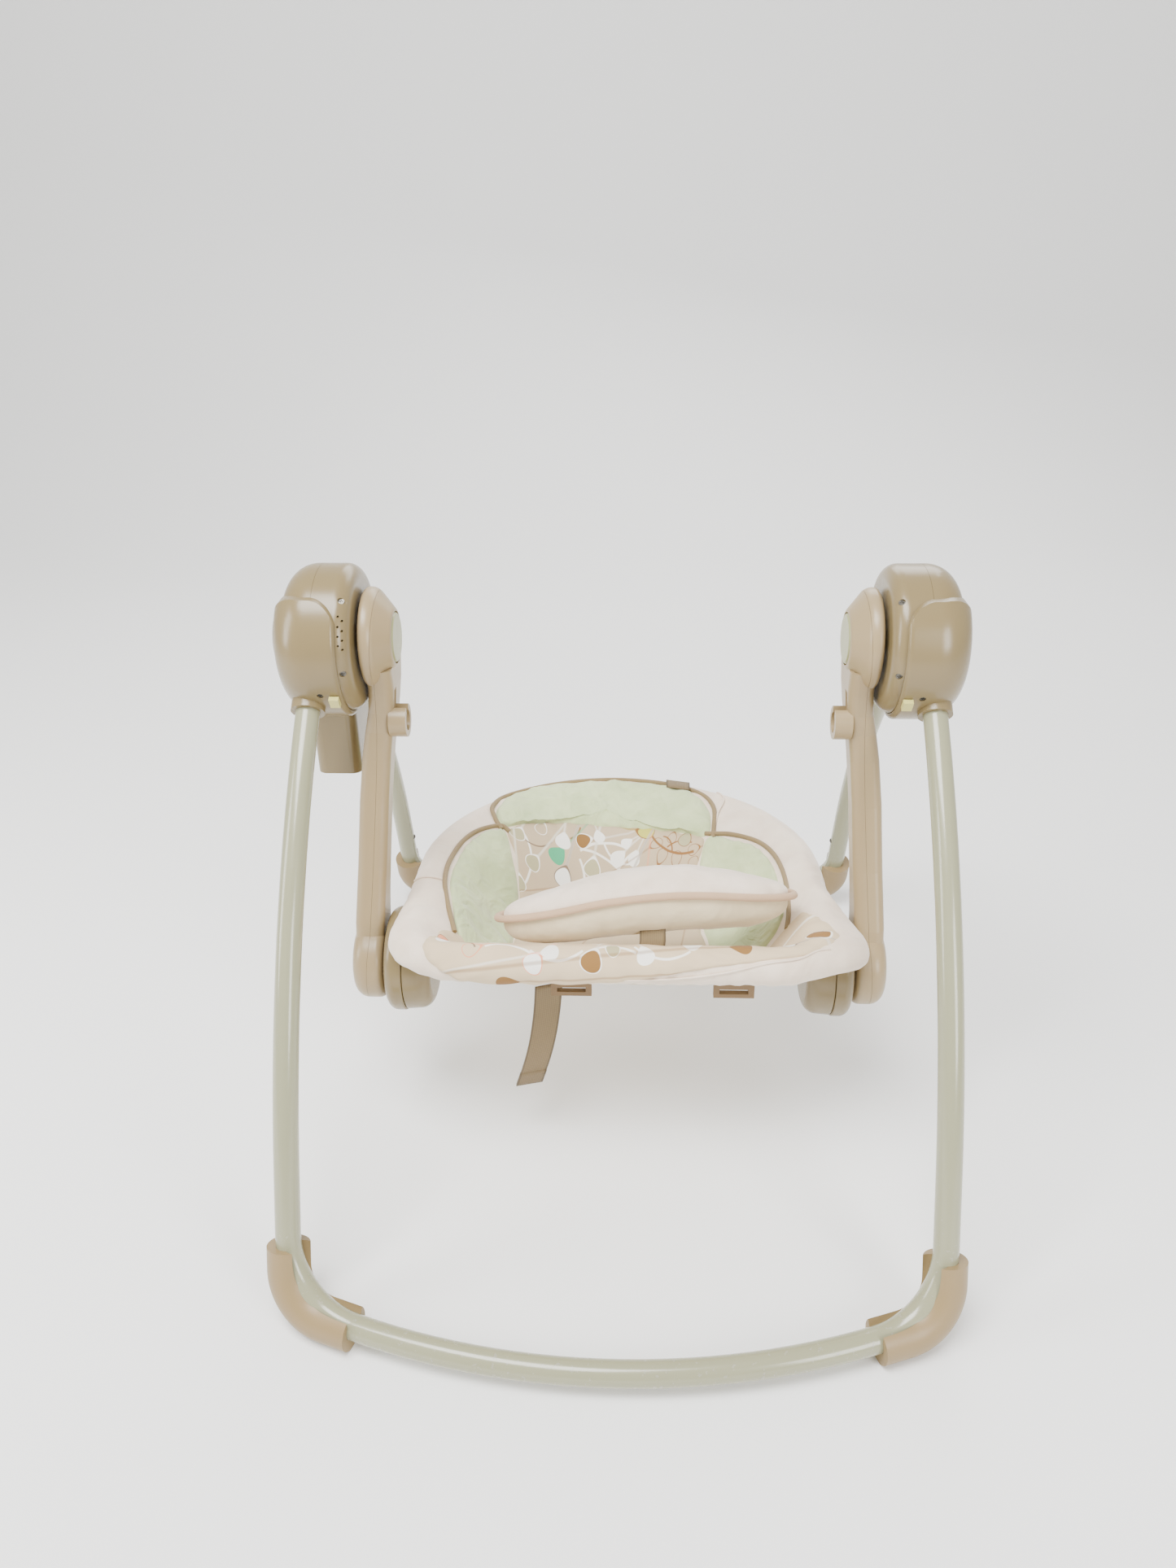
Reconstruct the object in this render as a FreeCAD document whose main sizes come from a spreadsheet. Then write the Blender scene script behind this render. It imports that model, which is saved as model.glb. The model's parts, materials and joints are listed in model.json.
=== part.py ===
import FreeCAD, Part

import math
import os

import Sketcher
from FreeCAD import Placement, Rotation, Vector

# Portable folding baby swing. Millimetres, +Z up, +X to the sitter's left, -Y to the front.
# The origin is on the floor, at the middle of the footprint.

os.makedirs("parts", exist_ok=True)
doc = FreeCAD.newDocument("BabySwing")

SIZES = {
    # overall
    "leg_plane": 257,
    "hub_height": 458,
    "hub_back": 15,
    "joint_height": 80,
    # tubes
    "tube_dia": 20,
    "tube_wall": 1.5,
    "spigot_length": 40,
    "spigot_gap": 0.05,
    "corner_reach": 60,
    "bow_radius": 625,
    "front_entry_y": -59,
    "front_entry_z": -49,
    "front_entry_angle": 50,
    "front_end_angle": 23.1,
    "rear_entry_y": 65.5,
    "rear_entry_z": -42,
    "rear_entry_angle": 49,
    "rear_end_angle": 16,
    # feet
    "foot_radius": 17,
    "foot_drop": 3,
    "foot_corner_reach": 34,
    # housings
    "drum_radius": 62,
    "drum_inner_face": 216.5,
    "drum_outer_face": "=leg_plane + 20",
    "drum_inner_round": 12,
    "drum_outer_round": 26,
    "shell_wall": 3,
    "seam_plane": "=leg_plane - 10",
    "boss_radius": 16,
    "cowl_gap": 0.4,
    "cowl_wall": 4.6,
    "cowl_inner_edge": "=leg_plane - 31",
    "fold_angle": 40,
    "ring_radius": 18,
    "neck_radius": 14,
    "pin_radius": 6,
    "pin_gap": 0.05,
    # swing arms
    "axle_radius": 8,
    "head_radius": 42.5,
    "head_inner_face": 189,
    "head_outer_face": 213.5,
    "arm_wall": 3,
    "lower_hub_y": -68,
    "lower_hub_z": -286,
    "arm_bulge_radius": 36,
    "arm_bulge_inner": 209,
    "arm_bulge_outer": 237,
    "bar_socket_radius": 14.5,
    "bar_bore_radius": 9,
    "bar_bore_depth": 11,
    # seat
    "seat_hub_radius": 47,
    "seat_hub_outer": 206.5,
        "seat_tube_dia": 16,
    "seat_tube_wall": 1.2,
    "seat_half_width": 178,
    "seat_hub_middle": "=seat_half_width + 12",
    "seat_hub_inner": "=seat_half_width - 12",
    "seat_front": 71,
    "seat_back_centre": 96,
    "seat_corner_radius": 45,
    "seat_tilt": 5,
    "seat_tube_rise": 43,
    "roll_radius": 14,
    "pouch_depth": 78,
    "pouch_wall": 10,
    # drive
    "gear_module": 1.5,
    "gear_teeth": 32,
    "pinion_teeth": 8,
}

sheet = doc.addObject("Spreadsheet::Sheet", "Sizes")
for row, (alias, number) in enumerate(SIZES.items(), start=1):
    sheet.set(f"A{row}", alias)
    sheet.set(f"B{row}", str(number))
    sheet.setAlias(f"B{row}", alias)
doc.recompute()

LEFT, RIGHT = "left", "right"
SUBPARTS = []


def size(alias):
    """The number in a cell of the sheet."""
    return float(sheet.get(alias))


def keep(made, label):
    """Name a finished sub-part; it is written to parts/LABEL.step."""
    made.Label = label
    SUBPARTS.append(made)
    return made


def bind(made, **sizes):
    """Drive an object's sizes by expressions on the sheet."""
    for name, expression in sizes.items():
        made.setExpression(name, expression)
    return made


def place(made, x="0", y="0", z="0", turn=None):
    """Put an object by expressions; y and z count from the hub axis."""
    if turn is not None:
        made.Placement = Placement(Vector(), turn)
    made.setExpression("Placement.Base.x", f"({x})")
    made.setExpression("Placement.Base.y", f"Sizes.hub_back + ({y})")
    made.setExpression("Placement.Base.z", f"Sizes.hub_height + ({z})")
    return made


ALONG_X = Rotation(Vector(0, 1, 0), 90)


def box(name, length, width, height, x, y, z, turn=None):
    made = doc.addObject("Part::Box", name)
    bind(made, Length=length, Width=width, Height=height)
    return place(made, x, y, z, turn)


def rod(name, radius, length, x, y="0", z="0", turn=ALONG_X):
    """A cylinder that starts at x, y, z and runs along +X unless turned."""
    made = doc.addObject("Part::Cylinder", name)
    bind(made, Radius=radius, Height=length)
    return place(made, x, y, z, turn)


def fuse(name, *shapes):
    made = doc.addObject("Part::MultiFuse", name)
    made.Shapes = list(shapes)
    return made


def common(name, *shapes):
    made = doc.addObject("Part::MultiCommon", name)
    made.Shapes = list(shapes)
    return made


def cut(name, base, *tools):
    made = doc.addObject("Part::Cut", name)
    made.Base = base
    made.Tool = tools[0] if len(tools) == 1 else fuse(name + "_tools", *tools)
    return made


def mirrored(name, source):
    made = doc.addObject("Part::Mirroring", name)
    made.Source = source
    made.Base = Vector(0, 0, 0)
    made.Normal = Vector(1, 0, 0)
    return made


def both_sides(source, label):
    """Keep a right-hand piece and its mirror image."""
    keep(source, f"{label}_{RIGHT}")
    keep(mirrored(label + "_mirror", source), f"{label}_{LEFT}")


def pair(source, label):
    """Keep a right-hand piece and its mirror image as one group of two solids."""
    group = doc.addObject("Part::Compound", label + "_group")
    group.Links = [source, mirrored(label + "_mirror", source)]
    return keep(group, label)


# ---------------------------------------------------------------- sketches and bodies


def closed_outline(points):
    """Lines and tangent arcs through (x, y, corner radius) points, in order."""
    count = len(points)
    starts, ends, arcs = {}, {}, []
    for i, (x, y, radius) in enumerate(points):
        here = Vector(x, y, 0)
        before = Vector(points[i - 1][0], points[i - 1][1], 0)
        after = Vector(points[(i + 1) % count][0], points[(i + 1) % count][1], 0)
        if radius <= 0:
            starts[i] = ends[i] = here
            continue
        to_before = (before - here).normalize()
        to_after = (after - here).normalize()
        half = to_before.getAngle(to_after) / 2
        reach = radius / math.tan(half)
        starts[i] = here + to_before * reach
        ends[i] = here + to_after * reach
        bisector = (to_before + to_after).normalize()
        middle = here + bisector * (radius / math.sin(half) - radius)
        arcs.append((i, Part.Arc(starts[i], middle, ends[i])))
    edges = []
    for i in range(count):
        following = (i + 1) % count
        for index, arc in arcs:
            if index == i:
                edges.append(arc)
        if ends[i].distanceToPoint(starts[following]) > 1e-6:
            edges.append(Part.LineSegment(ends[i], starts[following]))
    return edges


def new_body(name):
    return doc.addObject("PartDesign::Body", name)


def sketch_on(body, plane, name, geometry, offset="0"):
    """A sketch on one of the body's own origin planes, moved along the plane's normal."""
    sketch = body.newObject("Sketcher::SketchObject", name)
    for feature in body.Origin.OriginFeatures:
        if feature.Role == plane:
            sketch.AttachmentSupport = [(feature, "")]
    sketch.MapMode = "FlatFace"
    sketch.setExpression("AttachmentOffset.Base.z", offset)
    sketch.addGeometry(list(geometry), False)
    return sketch


def ring_sketch(body, plane, name, x, y, outer, inner):
    """Two circles whose radii are bound to the sheet: the section of a tube."""
    at = Vector(x, y, 0)
    circles = [Part.Circle(at, Vector(0, 0, 1), 2), Part.Circle(at, Vector(0, 0, 1), 1)]
    sketch = sketch_on(body, plane, name, circles)
    for index, expression in enumerate((outer, inner)):
        sketch.addConstraint(Sketcher.Constraint("Radius", index, 2 - index))
        sketch.setExpression(f"Constraints[{index}]", expression)
    return sketch


def turned(name, points, angle="360", start=0, x="0", y="0", z="0"):
    """A revolution about the X axis of an outline in (x, radius)."""
    body = new_body(name)
    sketch = sketch_on(body, "XZ_Plane", name + "_outline", closed_outline(points))
    turn = body.newObject("PartDesign::Revolution", name + "_turn")
    turn.Profile = sketch
    turn.ReferenceAxis = (sketch, ["H_Axis"])
    turn.setExpression("Angle", angle)
    place(body, x, y, z, Rotation(Vector(1, 0, 0), start))
    return body


def piped(name, path_plane, path, section_plane, x, y, outer, inner):
    """A tube swept along a flat path, in the body's own frame."""
    body = new_body(name)
    spine = sketch_on(body, path_plane, name + "_path", path)
    section = ring_sketch(body, section_plane, name + "_section", x, y, outer, inner)
    pipe = body.newObject("PartDesign::AdditivePipe", name + "_pipe")
    pipe.Profile = section
    pipe.Spine = (spine, [f"Edge{i + 1}" for i in range(len(path))])
    return body


def lofted(name, sections):
    """A loft through rounded rectangles (x, y, z, width x, width y, corner radius)."""
    body = new_body(name)
    sketches = []
    for i, (x, y, z, wide, deep, radius) in enumerate(sections):
        half_x, half_y = wide / 2, deep / 2
        corners = [
            (x - half_x, y - half_y, radius),
            (x + half_x, y - half_y, radius),
            (x + half_x, y + half_y, radius),
            (x - half_x, y + half_y, radius),
        ]
        outline = closed_outline(corners)
        sketches.append(sketch_on(body, "XY_Plane", f"{name}_{i}", outline, str(z)))
    loft = body.newObject("PartDesign::AdditiveLoft", name + "_loft")
    loft.Profile = sketches[0]
    loft.Sections = sketches[1:]
    loft.Ruled = True
    return body


# ---------------------------------------------------------------- leg geometry

TUBE_RADIUS = "Sizes.tube_dia / 2"
TUBE_BORE = "Sizes.tube_dia / 2 - Sizes.tube_wall"
BASE_HEIGHT = size("tube_dia") / 2 + 8
TUBE_START = 34


class Leg:
    """Centre line of one leg, in the plane of the leg; forward is -1 or +1 along Y."""

    def __init__(self, end, forward):
        self.forward = forward
        self.entry = Vector(0, size(end + "_entry_y"), size(end + "_entry_z"))
        self.start_angle = math.radians(size(end + "_entry_angle"))
        self.end_angle = math.radians(size(end + "_end_angle"))
        self.sleeve = size("spigot_length") + 5
        self.inner = self.entry.Length - TUBE_START
        drop = size("hub_height") + self.entry.z - size("joint_height")
        drop -= self.sleeve * math.cos(self.end_angle)
        lean = (self.start_angle + self.end_angle) / 2
        self.turn = self.start_angle - self.end_angle
        self.radius = drop / math.cos(lean) / (2 * math.sin(self.turn / 2))

    def direction(self, angle):
        """Unit vector down the leg, at an angle from the vertical."""
        return Vector(0, self.forward * math.sin(angle), -math.cos(angle))

    def inwards(self, angle):
        """Unit vector from the tube towards the centre of its bend."""
        return Vector(0, -self.forward * math.cos(angle), -math.sin(angle))

    def top(self):
        return self.entry - self.direction(self.start_angle) * self.inner

    def joint(self):
        """Point where the leg meets the base tube, counted from the hub axis."""
        centre = self.entry + self.inwards(self.start_angle) * self.radius
        bend_end = centre - self.inwards(self.end_angle) * self.radius
        return bend_end + self.direction(self.end_angle) * self.sleeve

    def path(self):
        """Straight, arc, straight, in a frame that starts at the top and runs down -Z."""
        back = Rotation(Vector(1, 0, 0), -self.top_turn())
        centre = self.entry + self.inwards(self.start_angle) * self.radius
        middle_angle = (self.start_angle + self.end_angle) / 2
        points = [
            self.top(),
            self.entry,
            centre - self.inwards(middle_angle) * self.radius,
            centre - self.inwards(self.end_angle) * self.radius,
            self.joint(),
        ]
        local = []
        for point in points:
            moved = back.multVec(point - self.top())
            local.append(Vector(moved.y, moved.z, 0))
        return [
            Part.LineSegment(local[0], local[1]),
            Part.Arc(local[1], local[2], local[3]),
            Part.LineSegment(local[3], local[4]),
        ]

    def top_turn(self):
        """Turn about X, in degrees, that takes -Z to the leg's first direction."""
        return self.forward * math.degrees(self.start_angle)


FRONT_LEG = Leg("front", -1)
REAR_LEG = Leg("rear", 1)
HUB = Vector(0, size("hub_back"), size("hub_height"))


def leg_tube(name, leg):
    """Right-hand leg tube, from inside the housing to the joint."""
    body = piped(name, "YZ_Plane", leg.path(), "XY_Plane", 0, 0, TUBE_RADIUS, TUBE_BORE)
    top = leg.top()
    turn = Rotation(Vector(1, 0, 0), leg.top_turn())
    return place(body, "Sizes.leg_plane", f"{top.y}", f"{top.z}", turn)


# ---------------------------------------------------------------- base tubes


class Base:
    """U-shaped base tube: two corners in leaning planes and a long bow on the floor."""

    def __init__(self, leg, foot=False):
        self.joint = HUB + leg.joint() + Vector(size("leg_plane"), 0, 0)
        self.down = leg.direction(leg.end_angle)
        fall = (self.joint.z - BASE_HEIGHT) / -self.down.z
        self.vertex = self.joint + self.down * fall
        bow, reach = size("bow_radius"), size("corner_reach")
        to_centre = math.sqrt(bow**2 + reach**2 - self.vertex.x**2)
        self.centre = Vector(0, self.vertex.y - leg.forward * to_centre, BASE_HEIGHT)
        spoke = self.vertex - self.centre
        swing = math.acos(bow / spoke.Length) * leg.forward
        touch = Rotation(Vector(0, 0, 1), math.degrees(swing)).multVec(spoke)
        self.touch = self.centre + touch * (bow / spoke.Length)
        self.apex = self.centre + Vector(0, leg.forward * bow, 0)
        self.along = (self.touch - self.vertex).normalize()
        turn = self.down.getAngle(self.along)
        self.turn = turn
        bend = size("foot_corner_reach") if foot else reach - 1.5
        self.radius = bend / math.tan(turn / 2)
        self.corner_start = self.vertex - self.down * bend
        self.inward = (self.along - self.down * self.along.dot(self.down)).normalize()

    def on_corner(self, angle, outwards=0.0):
        """Point on the corner's arc, or on an arc that lies further out."""
        centre = self.corner_start + self.inward * self.radius
        reach = self.radius + outwards
        return centre - self.inward * (reach * math.cos(angle)) + self.down * (reach * math.sin(angle))

    def corner_edges(self, before, after, outwards=0.0):
        """The corner, with a straight run before it and after it."""
        first, last = self.on_corner(0, outwards), self.on_corner(self.turn, outwards)
        middle = self.on_corner(self.turn / 2, outwards)
        return [
            Part.makeLine(first - self.down * before, first),
            Part.Arc(first, middle, last).toShape(),
            Part.makeLine(last, last + self.along * after),
        ]

    def wire(self):
        start = (self.corner_start - self.joint).Length
        run = (self.touch - self.on_corner(self.turn)).Length
        right = self.corner_edges(start, run)
        left = [edge.mirror(Vector(), Vector(1, 0, 0)) for edge in right]
        far = Vector(-self.touch.x, self.touch.y, self.touch.z)
        bow = Part.Arc(self.touch, self.apex, far).toShape()
        return Part.Wire(Part.__sortEdges__(right + [bow] + left))


def pipe_along(wire, start, direction, radius):
    circle = Part.Wire(Part.makeCircle(radius, start, direction))
    return wire.makePipeShell([circle], True, True)


def base_tube(name, leg, holes):
    """Hollow base tube with a spigot at each end that slides up into the leg."""
    base = Base(leg)
    radius, wall = size("tube_dia") / 2, size("tube_wall")
    outside = pipe_along(base.wire(), base.joint, base.down, radius)
    inside = pipe_along(base.wire(), base.joint, base.down, radius - wall)
    tube = outside.cut(inside)
    overlap = 8
    spigot_radius = radius - wall - size("spigot_gap")
    long = size("spigot_length")
    bore = spigot_radius - wall
    for mirror in (False, True):
        collar = Part.makeCylinder(radius - wall + 0.2, overlap, base.joint, base.down)
        low = base.joint + base.down * overlap
        sleeve = Part.makeCylinder(spigot_radius, long + overlap, low, -base.down)
        hollow = Part.makeCylinder(bore, long + 2 * overlap, low, -base.down)
        spigot = collar.fuse(sleeve).cut(hollow)
        if mirror:
            spigot = spigot.mirror(Vector(), Vector(1, 0, 0))
        tube = tube.fuse(spigot)
    for hole in holes:
        tube = tube.cut(hole)
    made = doc.addObject("Part::Feature", name)
    made.Shape = tube
    return keep(made, name)


FOOT_RUN_UP = 18
FOOT_RUN_IN = 24


def corner_foot(name, leg):
    """Right-hand foot: a cradle with a tighter corner than the base tube that it carries."""
    base, foot_path = Base(leg), Base(leg, foot=True)
    radius = size("tube_dia") / 2

    def run(path, before, after, radius, outwards=0.0):
        edges = path.corner_edges(before, after, outwards)
        first, second = edges[0].Vertexes[0].Point, edges[0].Vertexes[1].Point
        return pipe_along(Part.Wire(Part.__sortEdges__(edges)), first, second - first, radius)

    shell = run(foot_path, FOOT_RUN_UP, FOOT_RUN_IN, size("foot_radius"))
    shell.translate(Vector(0, 0, -size("foot_drop")))
    tube = pipe_along(base.wire(), base.joint, base.down, radius + 0.05)
    mouth = run(base, 30, 40, radius + 1.5, -radius)
    floor = Part.makeBox(1200, 1200, 60, Vector(-600, -600, -60))
    foot = shell.cut(tube).cut(mouth).cut(floor)
    made = doc.addObject("Part::Feature", name)
    made.Shape = max(foot.Solids, key=lambda solid: solid.Volume)
    return made


# ---------------------------------------------------------------- snap buttons

SNAP_RADIUS = 3
SNAP_GAP = 0.1
SNAP_ABOVE_JOINT = 22
SNAP_PROUD = 1.6
SNAP_TRAVEL = 2


def snap_frame(leg, outwards):
    """Centre of a snap button on the tube's axis, and the way it points."""
    at = HUB + leg.joint() + Vector(size("leg_plane"), 0, 0)
    return at - leg.direction(leg.end_angle) * SNAP_ABOVE_JOINT, outwards


FRONT_SNAP = snap_frame(FRONT_LEG, FRONT_LEG.inwards(FRONT_LEG.end_angle))
REAR_SNAP = snap_frame(REAR_LEG, Vector(-1, 0, 0))


def snap_hole(snap):
    centre, outwards = snap
    return Part.makeCylinder(SNAP_RADIUS + SNAP_GAP, 14, centre, outwards)


def snap_button(name, snap):
    """A domed steel button with a flange that stays inside the spigot."""
    centre, outwards = snap
    proud = size("tube_dia") / 2 + SNAP_PROUD
    inside = 3.4
    stem = Part.makeCylinder(SNAP_RADIUS, proud - inside - 1, centre + outwards * inside, outwards)
    dome = Part.makeSphere(SNAP_RADIUS, centre + outwards * (proud - SNAP_RADIUS))
    cap = Part.makeCylinder(SNAP_RADIUS, SNAP_RADIUS, centre + outwards * (proud - SNAP_RADIUS), outwards)
    body = stem.cut(cap).fuse(dome.common(cap))
    flange = Part.makeCylinder(SNAP_RADIUS + 1.2, 1.2, centre + outwards * inside, outwards)
    made = doc.addObject("Part::Feature", name)
    made.Shape = body.fuse(flange).removeSplitter()
    return made


def hole_object(name, snap):
    made = doc.addObject("Part::Feature", name)
    made.Shape = snap_hole(snap)
    return made


def mirror_shape(shape):
    return shape.mirror(Vector(), Vector(1, 0, 0))


for end, leg, snap in (("front", FRONT_LEG, FRONT_SNAP), ("rear", REAR_LEG, REAR_SNAP)):
    tube = leg_tube(f"{end}_leg_tube", leg)
    drilled = cut(f"{end}_leg_drilled", tube, hole_object(f"{end}_leg_hole", snap))
    both_sides(drilled, f"{end}_leg")
    hole = snap_hole(snap)
    base_tube(f"{end}_base_tube", leg, [hole, mirror_shape(hole)])
    both_sides(corner_foot(f"{end}_corner_foot", leg), f"{end}_foot")
    both_sides(snap_button(f"{end}_snap", snap), f"{end}_snap_button")

# ---------------------------------------------------------------- housings

DRUM = size("drum_radius")
INNER_FACE = size("drum_inner_face")
OUTER_FACE = size("drum_outer_face")
INNER_ROUND = size("drum_inner_round")
OUTER_ROUND = size("drum_outer_round")
WALL = size("shell_wall")
AXLE_HOLE = size("axle_radius") + 1


def drum_outline(grow, inner_x=None):
    """Half section of the drum, grown or shrunk by one distance all round."""
    inner = (INNER_FACE if inner_x is None else inner_x) - (grow if inner_x is None else 0)
    return [
        (inner, 0, 0),
        (inner, DRUM + grow, max(INNER_ROUND + grow, 1)),
        (OUTER_FACE + grow, DRUM + grow, OUTER_ROUND + grow),
        (OUTER_FACE + grow, 0, 0),
    ]


def straight_of(leg, name, radius, start, length):
    """A rod along the straight top of a leg; start counts from the tube's inner end."""
    at = leg.top() + leg.direction(leg.start_angle) * start
    turn = Rotation(Vector(0, 0, 1), leg.direction(leg.start_angle))
    return rod(name, radius, length, "Sizes.leg_plane", f"{at.y}", f"{at.z}", turn)


def sector(name, radius, x, length, start, sweep):
    """A wedge about the hub axis; angles count from straight down towards the back."""
    made = doc.addObject("Part::Cylinder", name)
    bind(made, Radius=radius, Height=length, Angle=sweep)
    return place(made, x, turn=ALONG_X * Rotation(Vector(0, 0, 1), start))


drum = turned("drum", drum_outline(0))
boss = straight_of(REAR_LEG, "rear_boss", "Sizes.boss_radius", 20, "38")
cavity = turned("drum_cavity", drum_outline(-WALL))
leg_bore = straight_of(REAR_LEG, "rear_leg_bore", TUBE_RADIUS + " + Sizes.pin_gap", 0, "80")
slot_start = -(90 - 40 + 16)
front_slot = sector(
    "front_leg_slot",
    "Sizes.drum_radius + 8",
    "Sizes.leg_plane - Sizes.neck_radius - 0.6",
    "2 * Sizes.neck_radius + 1.2",
    slot_start,
    "Sizes.fold_angle + 32",
)
axle_hole = rod("axle_hole", f"{AXLE_HOLE}", "10", "Sizes.drum_inner_face - 3")
shell = cut("housing_shell", fuse("housing_blank", drum, boss), cavity, leg_bore, front_slot)
SHELL_SHANK = 9

SEAM_GAP = 0.1
inner_half = box("inner_half", "60", "300", "300", f"Sizes.seam_plane - 60 - {SEAM_GAP}", "-150", "-150")
outer_half = box("outer_half", "60", "300", "300", f"Sizes.seam_plane + {SEAM_GAP}", "-150", "-150")
inner_shell = cut("inner_shell", common("inner_shell_half", shell, inner_half), axle_hole)
outer_shell = common("outer_shell_half", shell, outer_half)


def screw_places(radius, places):
    """Points on the drum for screws: (x, angle above the front)."""
    found = []
    for x, angle in places:
        lift = math.radians(angle)
        found.append(Vector(x, -radius * math.cos(lift), radius * math.sin(lift)))
    return found


SHELL_SCREWS = screw_places(DRUM - 1.6, [(INNER_FACE + 6, -8), (INNER_FACE + 6, 50)])
HEAD_HOLE = 2.6
HEAD_DEPTH = 2.4
HEAD_THICK = 1.4
SHANK_HOLE = 1.35
POST_RADIUS = 4


def inward_rod(name, at, radius, start, length):
    """A rod from a place on the drum towards the hub axis; start counts inwards."""
    inward = Vector(0, -at.y, -at.z).normalize()
    first = at + inward * start
    turn = Rotation(Vector(0, 0, 1), inward)
    return rod(name, f"{radius}", f"{length}", f"{at.x}", f"{first.y}", f"{first.z}", turn)


def screw_bore(name, at, shank):
    """Recess for a screw's head, with the hole for its shank below."""
    recess = inward_rod(name + "_recess", at, HEAD_HOLE, -2, HEAD_DEPTH + 2)
    return fuse(name, recess, inward_rod(name + "_hole", at, SHANK_HOLE, 0, HEAD_DEPTH + shank + 0.4))


def screw_group(label, places, shank_length):
    """Cross-headed screws, deep in their recesses on both sides."""
    screws = []
    for at in places:
        inward = Vector(0, -at.y, -at.z).normalize()
        head = HUB + at + inward * (HEAD_DEPTH - HEAD_THICK)
        bolt = Part.makeCylinder(HEAD_HOLE - 0.1, HEAD_THICK, head, inward)
        cross = Part.makeBox(3.2, 0.8, 0.8, Vector(-1.6, -0.4, 0))
        cross = cross.fuse(Part.makeBox(0.8, 3.2, 0.8, Vector(-0.4, -1.6, 0)))
        cross.Placement = Placement(head, Rotation(Vector(0, 0, 1), inward))
        shank = Part.makeCylinder(SHANK_HOLE - 0.05, shank_length, head + inward * HEAD_THICK, inward)
        screw = bolt.fuse(shank).cut(cross)
        screws += [screw, mirror_shape(screw)]
    made = doc.addObject("Part::Feature", label)
    made.Shape = Part.makeCompound(screws)
    return keep(made, label)


posts = [
    inward_rod(f"screw_post_{i}", at, POST_RADIUS, WALL + 0.5, SHELL_SHANK)
    for i, at in enumerate(SHELL_SCREWS)
]
bores = [screw_bore(f"screw_bore_{i}", at, SHELL_SHANK) for i, at in enumerate(SHELL_SCREWS)]
inner_shell = cut("inner_shell_bored", fuse("inner_shell_posts", inner_shell, *posts), *bores)
keep(inner_shell, f"housing_inner_shell_{RIGHT}")
FORWARD = Rotation(Vector(0, 0, 1), Vector(0, 1, 0))
speaker_holes = []
for column, x in enumerate((-221, -224)):
    for row in range(4):
        height = 12 + 7 * row + 3.5 * column
        hole = rod(f"speaker_hole_{column}_{row}", "0.9", "30", f"{x}", "-70", f"{height}", FORWARD)
        speaker_holes.append(hole)
inner_shell_left = cut("inner_shell_speaker", mirrored("inner_shell_left", inner_shell), *speaker_holes)
keep(inner_shell_left, f"housing_inner_shell_{LEFT}")
screw_group("housing_screws", SHELL_SCREWS, SHELL_SHANK - 0.6)
both_sides(outer_shell, "housing_outer_shell")

# hinge pins of the front legs, fixed in the outer shells
pin_start = size("leg_plane") - 15.5
pin = rod(
    "leg_pin_rod", "Sizes.pin_radius", f"Sizes.drum_outer_face - Sizes.shell_wall - {pin_start}",
    f"{pin_start}",
)
pair(pin, "leg_hinge_pins")

# ---------------------------------------------------------------- front leg cowls

GAP = size("cowl_gap")
COWL = GAP + size("cowl_wall")
COWL_EDGE = size("cowl_inner_edge")
COWL_SIDE = 33
cowl_section = [
    (COWL_EDGE, DRUM + GAP, 0),
    (COWL_EDGE, DRUM + COWL, 4),
    (OUTER_FACE + COWL, DRUM + COWL, OUTER_ROUND + COWL),
    (OUTER_FACE + COWL, COWL_SIDE, 2),
    (OUTER_FACE + GAP, COWL_SIDE, 0),
    (OUTER_FACE + GAP, DRUM + GAP, OUTER_ROUND + GAP),
]
cowl_band = turned("cowl_band", cowl_section, "142", 25)
cowl_width = OUTER_FACE + COWL - COWL_EDGE
arch_top = 49


def arch_prism(name):
    """Rounded prism along Y that gives the cowl its arched top edge."""
    body = new_body(name)
    corners = [
        (COWL_EDGE - 1, -110, 0),
        (COWL_EDGE + cowl_width + 1, -110, 0),
        (COWL_EDGE + cowl_width + 1, arch_top, 24),
        (COWL_EDGE - 1, arch_top, 24),
    ]
    sketch = sketch_on(body, "XZ_Plane", name + "_outline", closed_outline(corners))
    pad = body.newObject("PartDesign::Pad", name + "_pad")
    pad.Profile = sketch
    pad.Length = 400
    pad.Midplane = True
    return place(body)


cowl_cap = common("cowl_cap", cowl_band, arch_prism("cowl_arch"))
neck = straight_of(FRONT_LEG, "neck_rod", "Sizes.neck_radius", -23, "Sizes.drum_radius - 2.5")
hinge_ring = rod(
    "hinge_ring", "Sizes.ring_radius", "2 * Sizes.neck_radius - 2",
    "Sizes.leg_plane - Sizes.neck_radius + 1",
)
neck_bore = straight_of(FRONT_LEG, "neck_bore", TUBE_RADIUS + " + Sizes.pin_gap", 0, "80")
pin_bore = rod("pin_bore", "Sizes.pin_radius + Sizes.pin_gap", "60", "Sizes.leg_plane - 30")

TAB_X = COWL_EDGE + 5.5
TAB_ANGLE = -28
TAB_TRAVEL = 4
tab_lift = math.radians(TAB_ANGLE)
TAB_OUT = Vector(0, -math.cos(tab_lift), math.sin(tab_lift))
TAB_DOWN = Vector(0, -math.sin(tab_lift), -math.cos(tab_lift))


def tab_block(name, wide, start, end, low, high):
    """A block on the cowl, from start to end down the slide and low to high out of it."""
    block = Part.makeBox(wide, end - start, high - low, Vector(-wide / 2, start, low))
    turn = Rotation(Vector(-1, 0, 0), TAB_DOWN, TAB_OUT, "ZYX")
    block.Placement = Placement(HUB + Vector(TAB_X, 0, 0), turn)
    made = doc.addObject("Part::Feature", name)
    made.Shape = block
    return made


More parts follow.
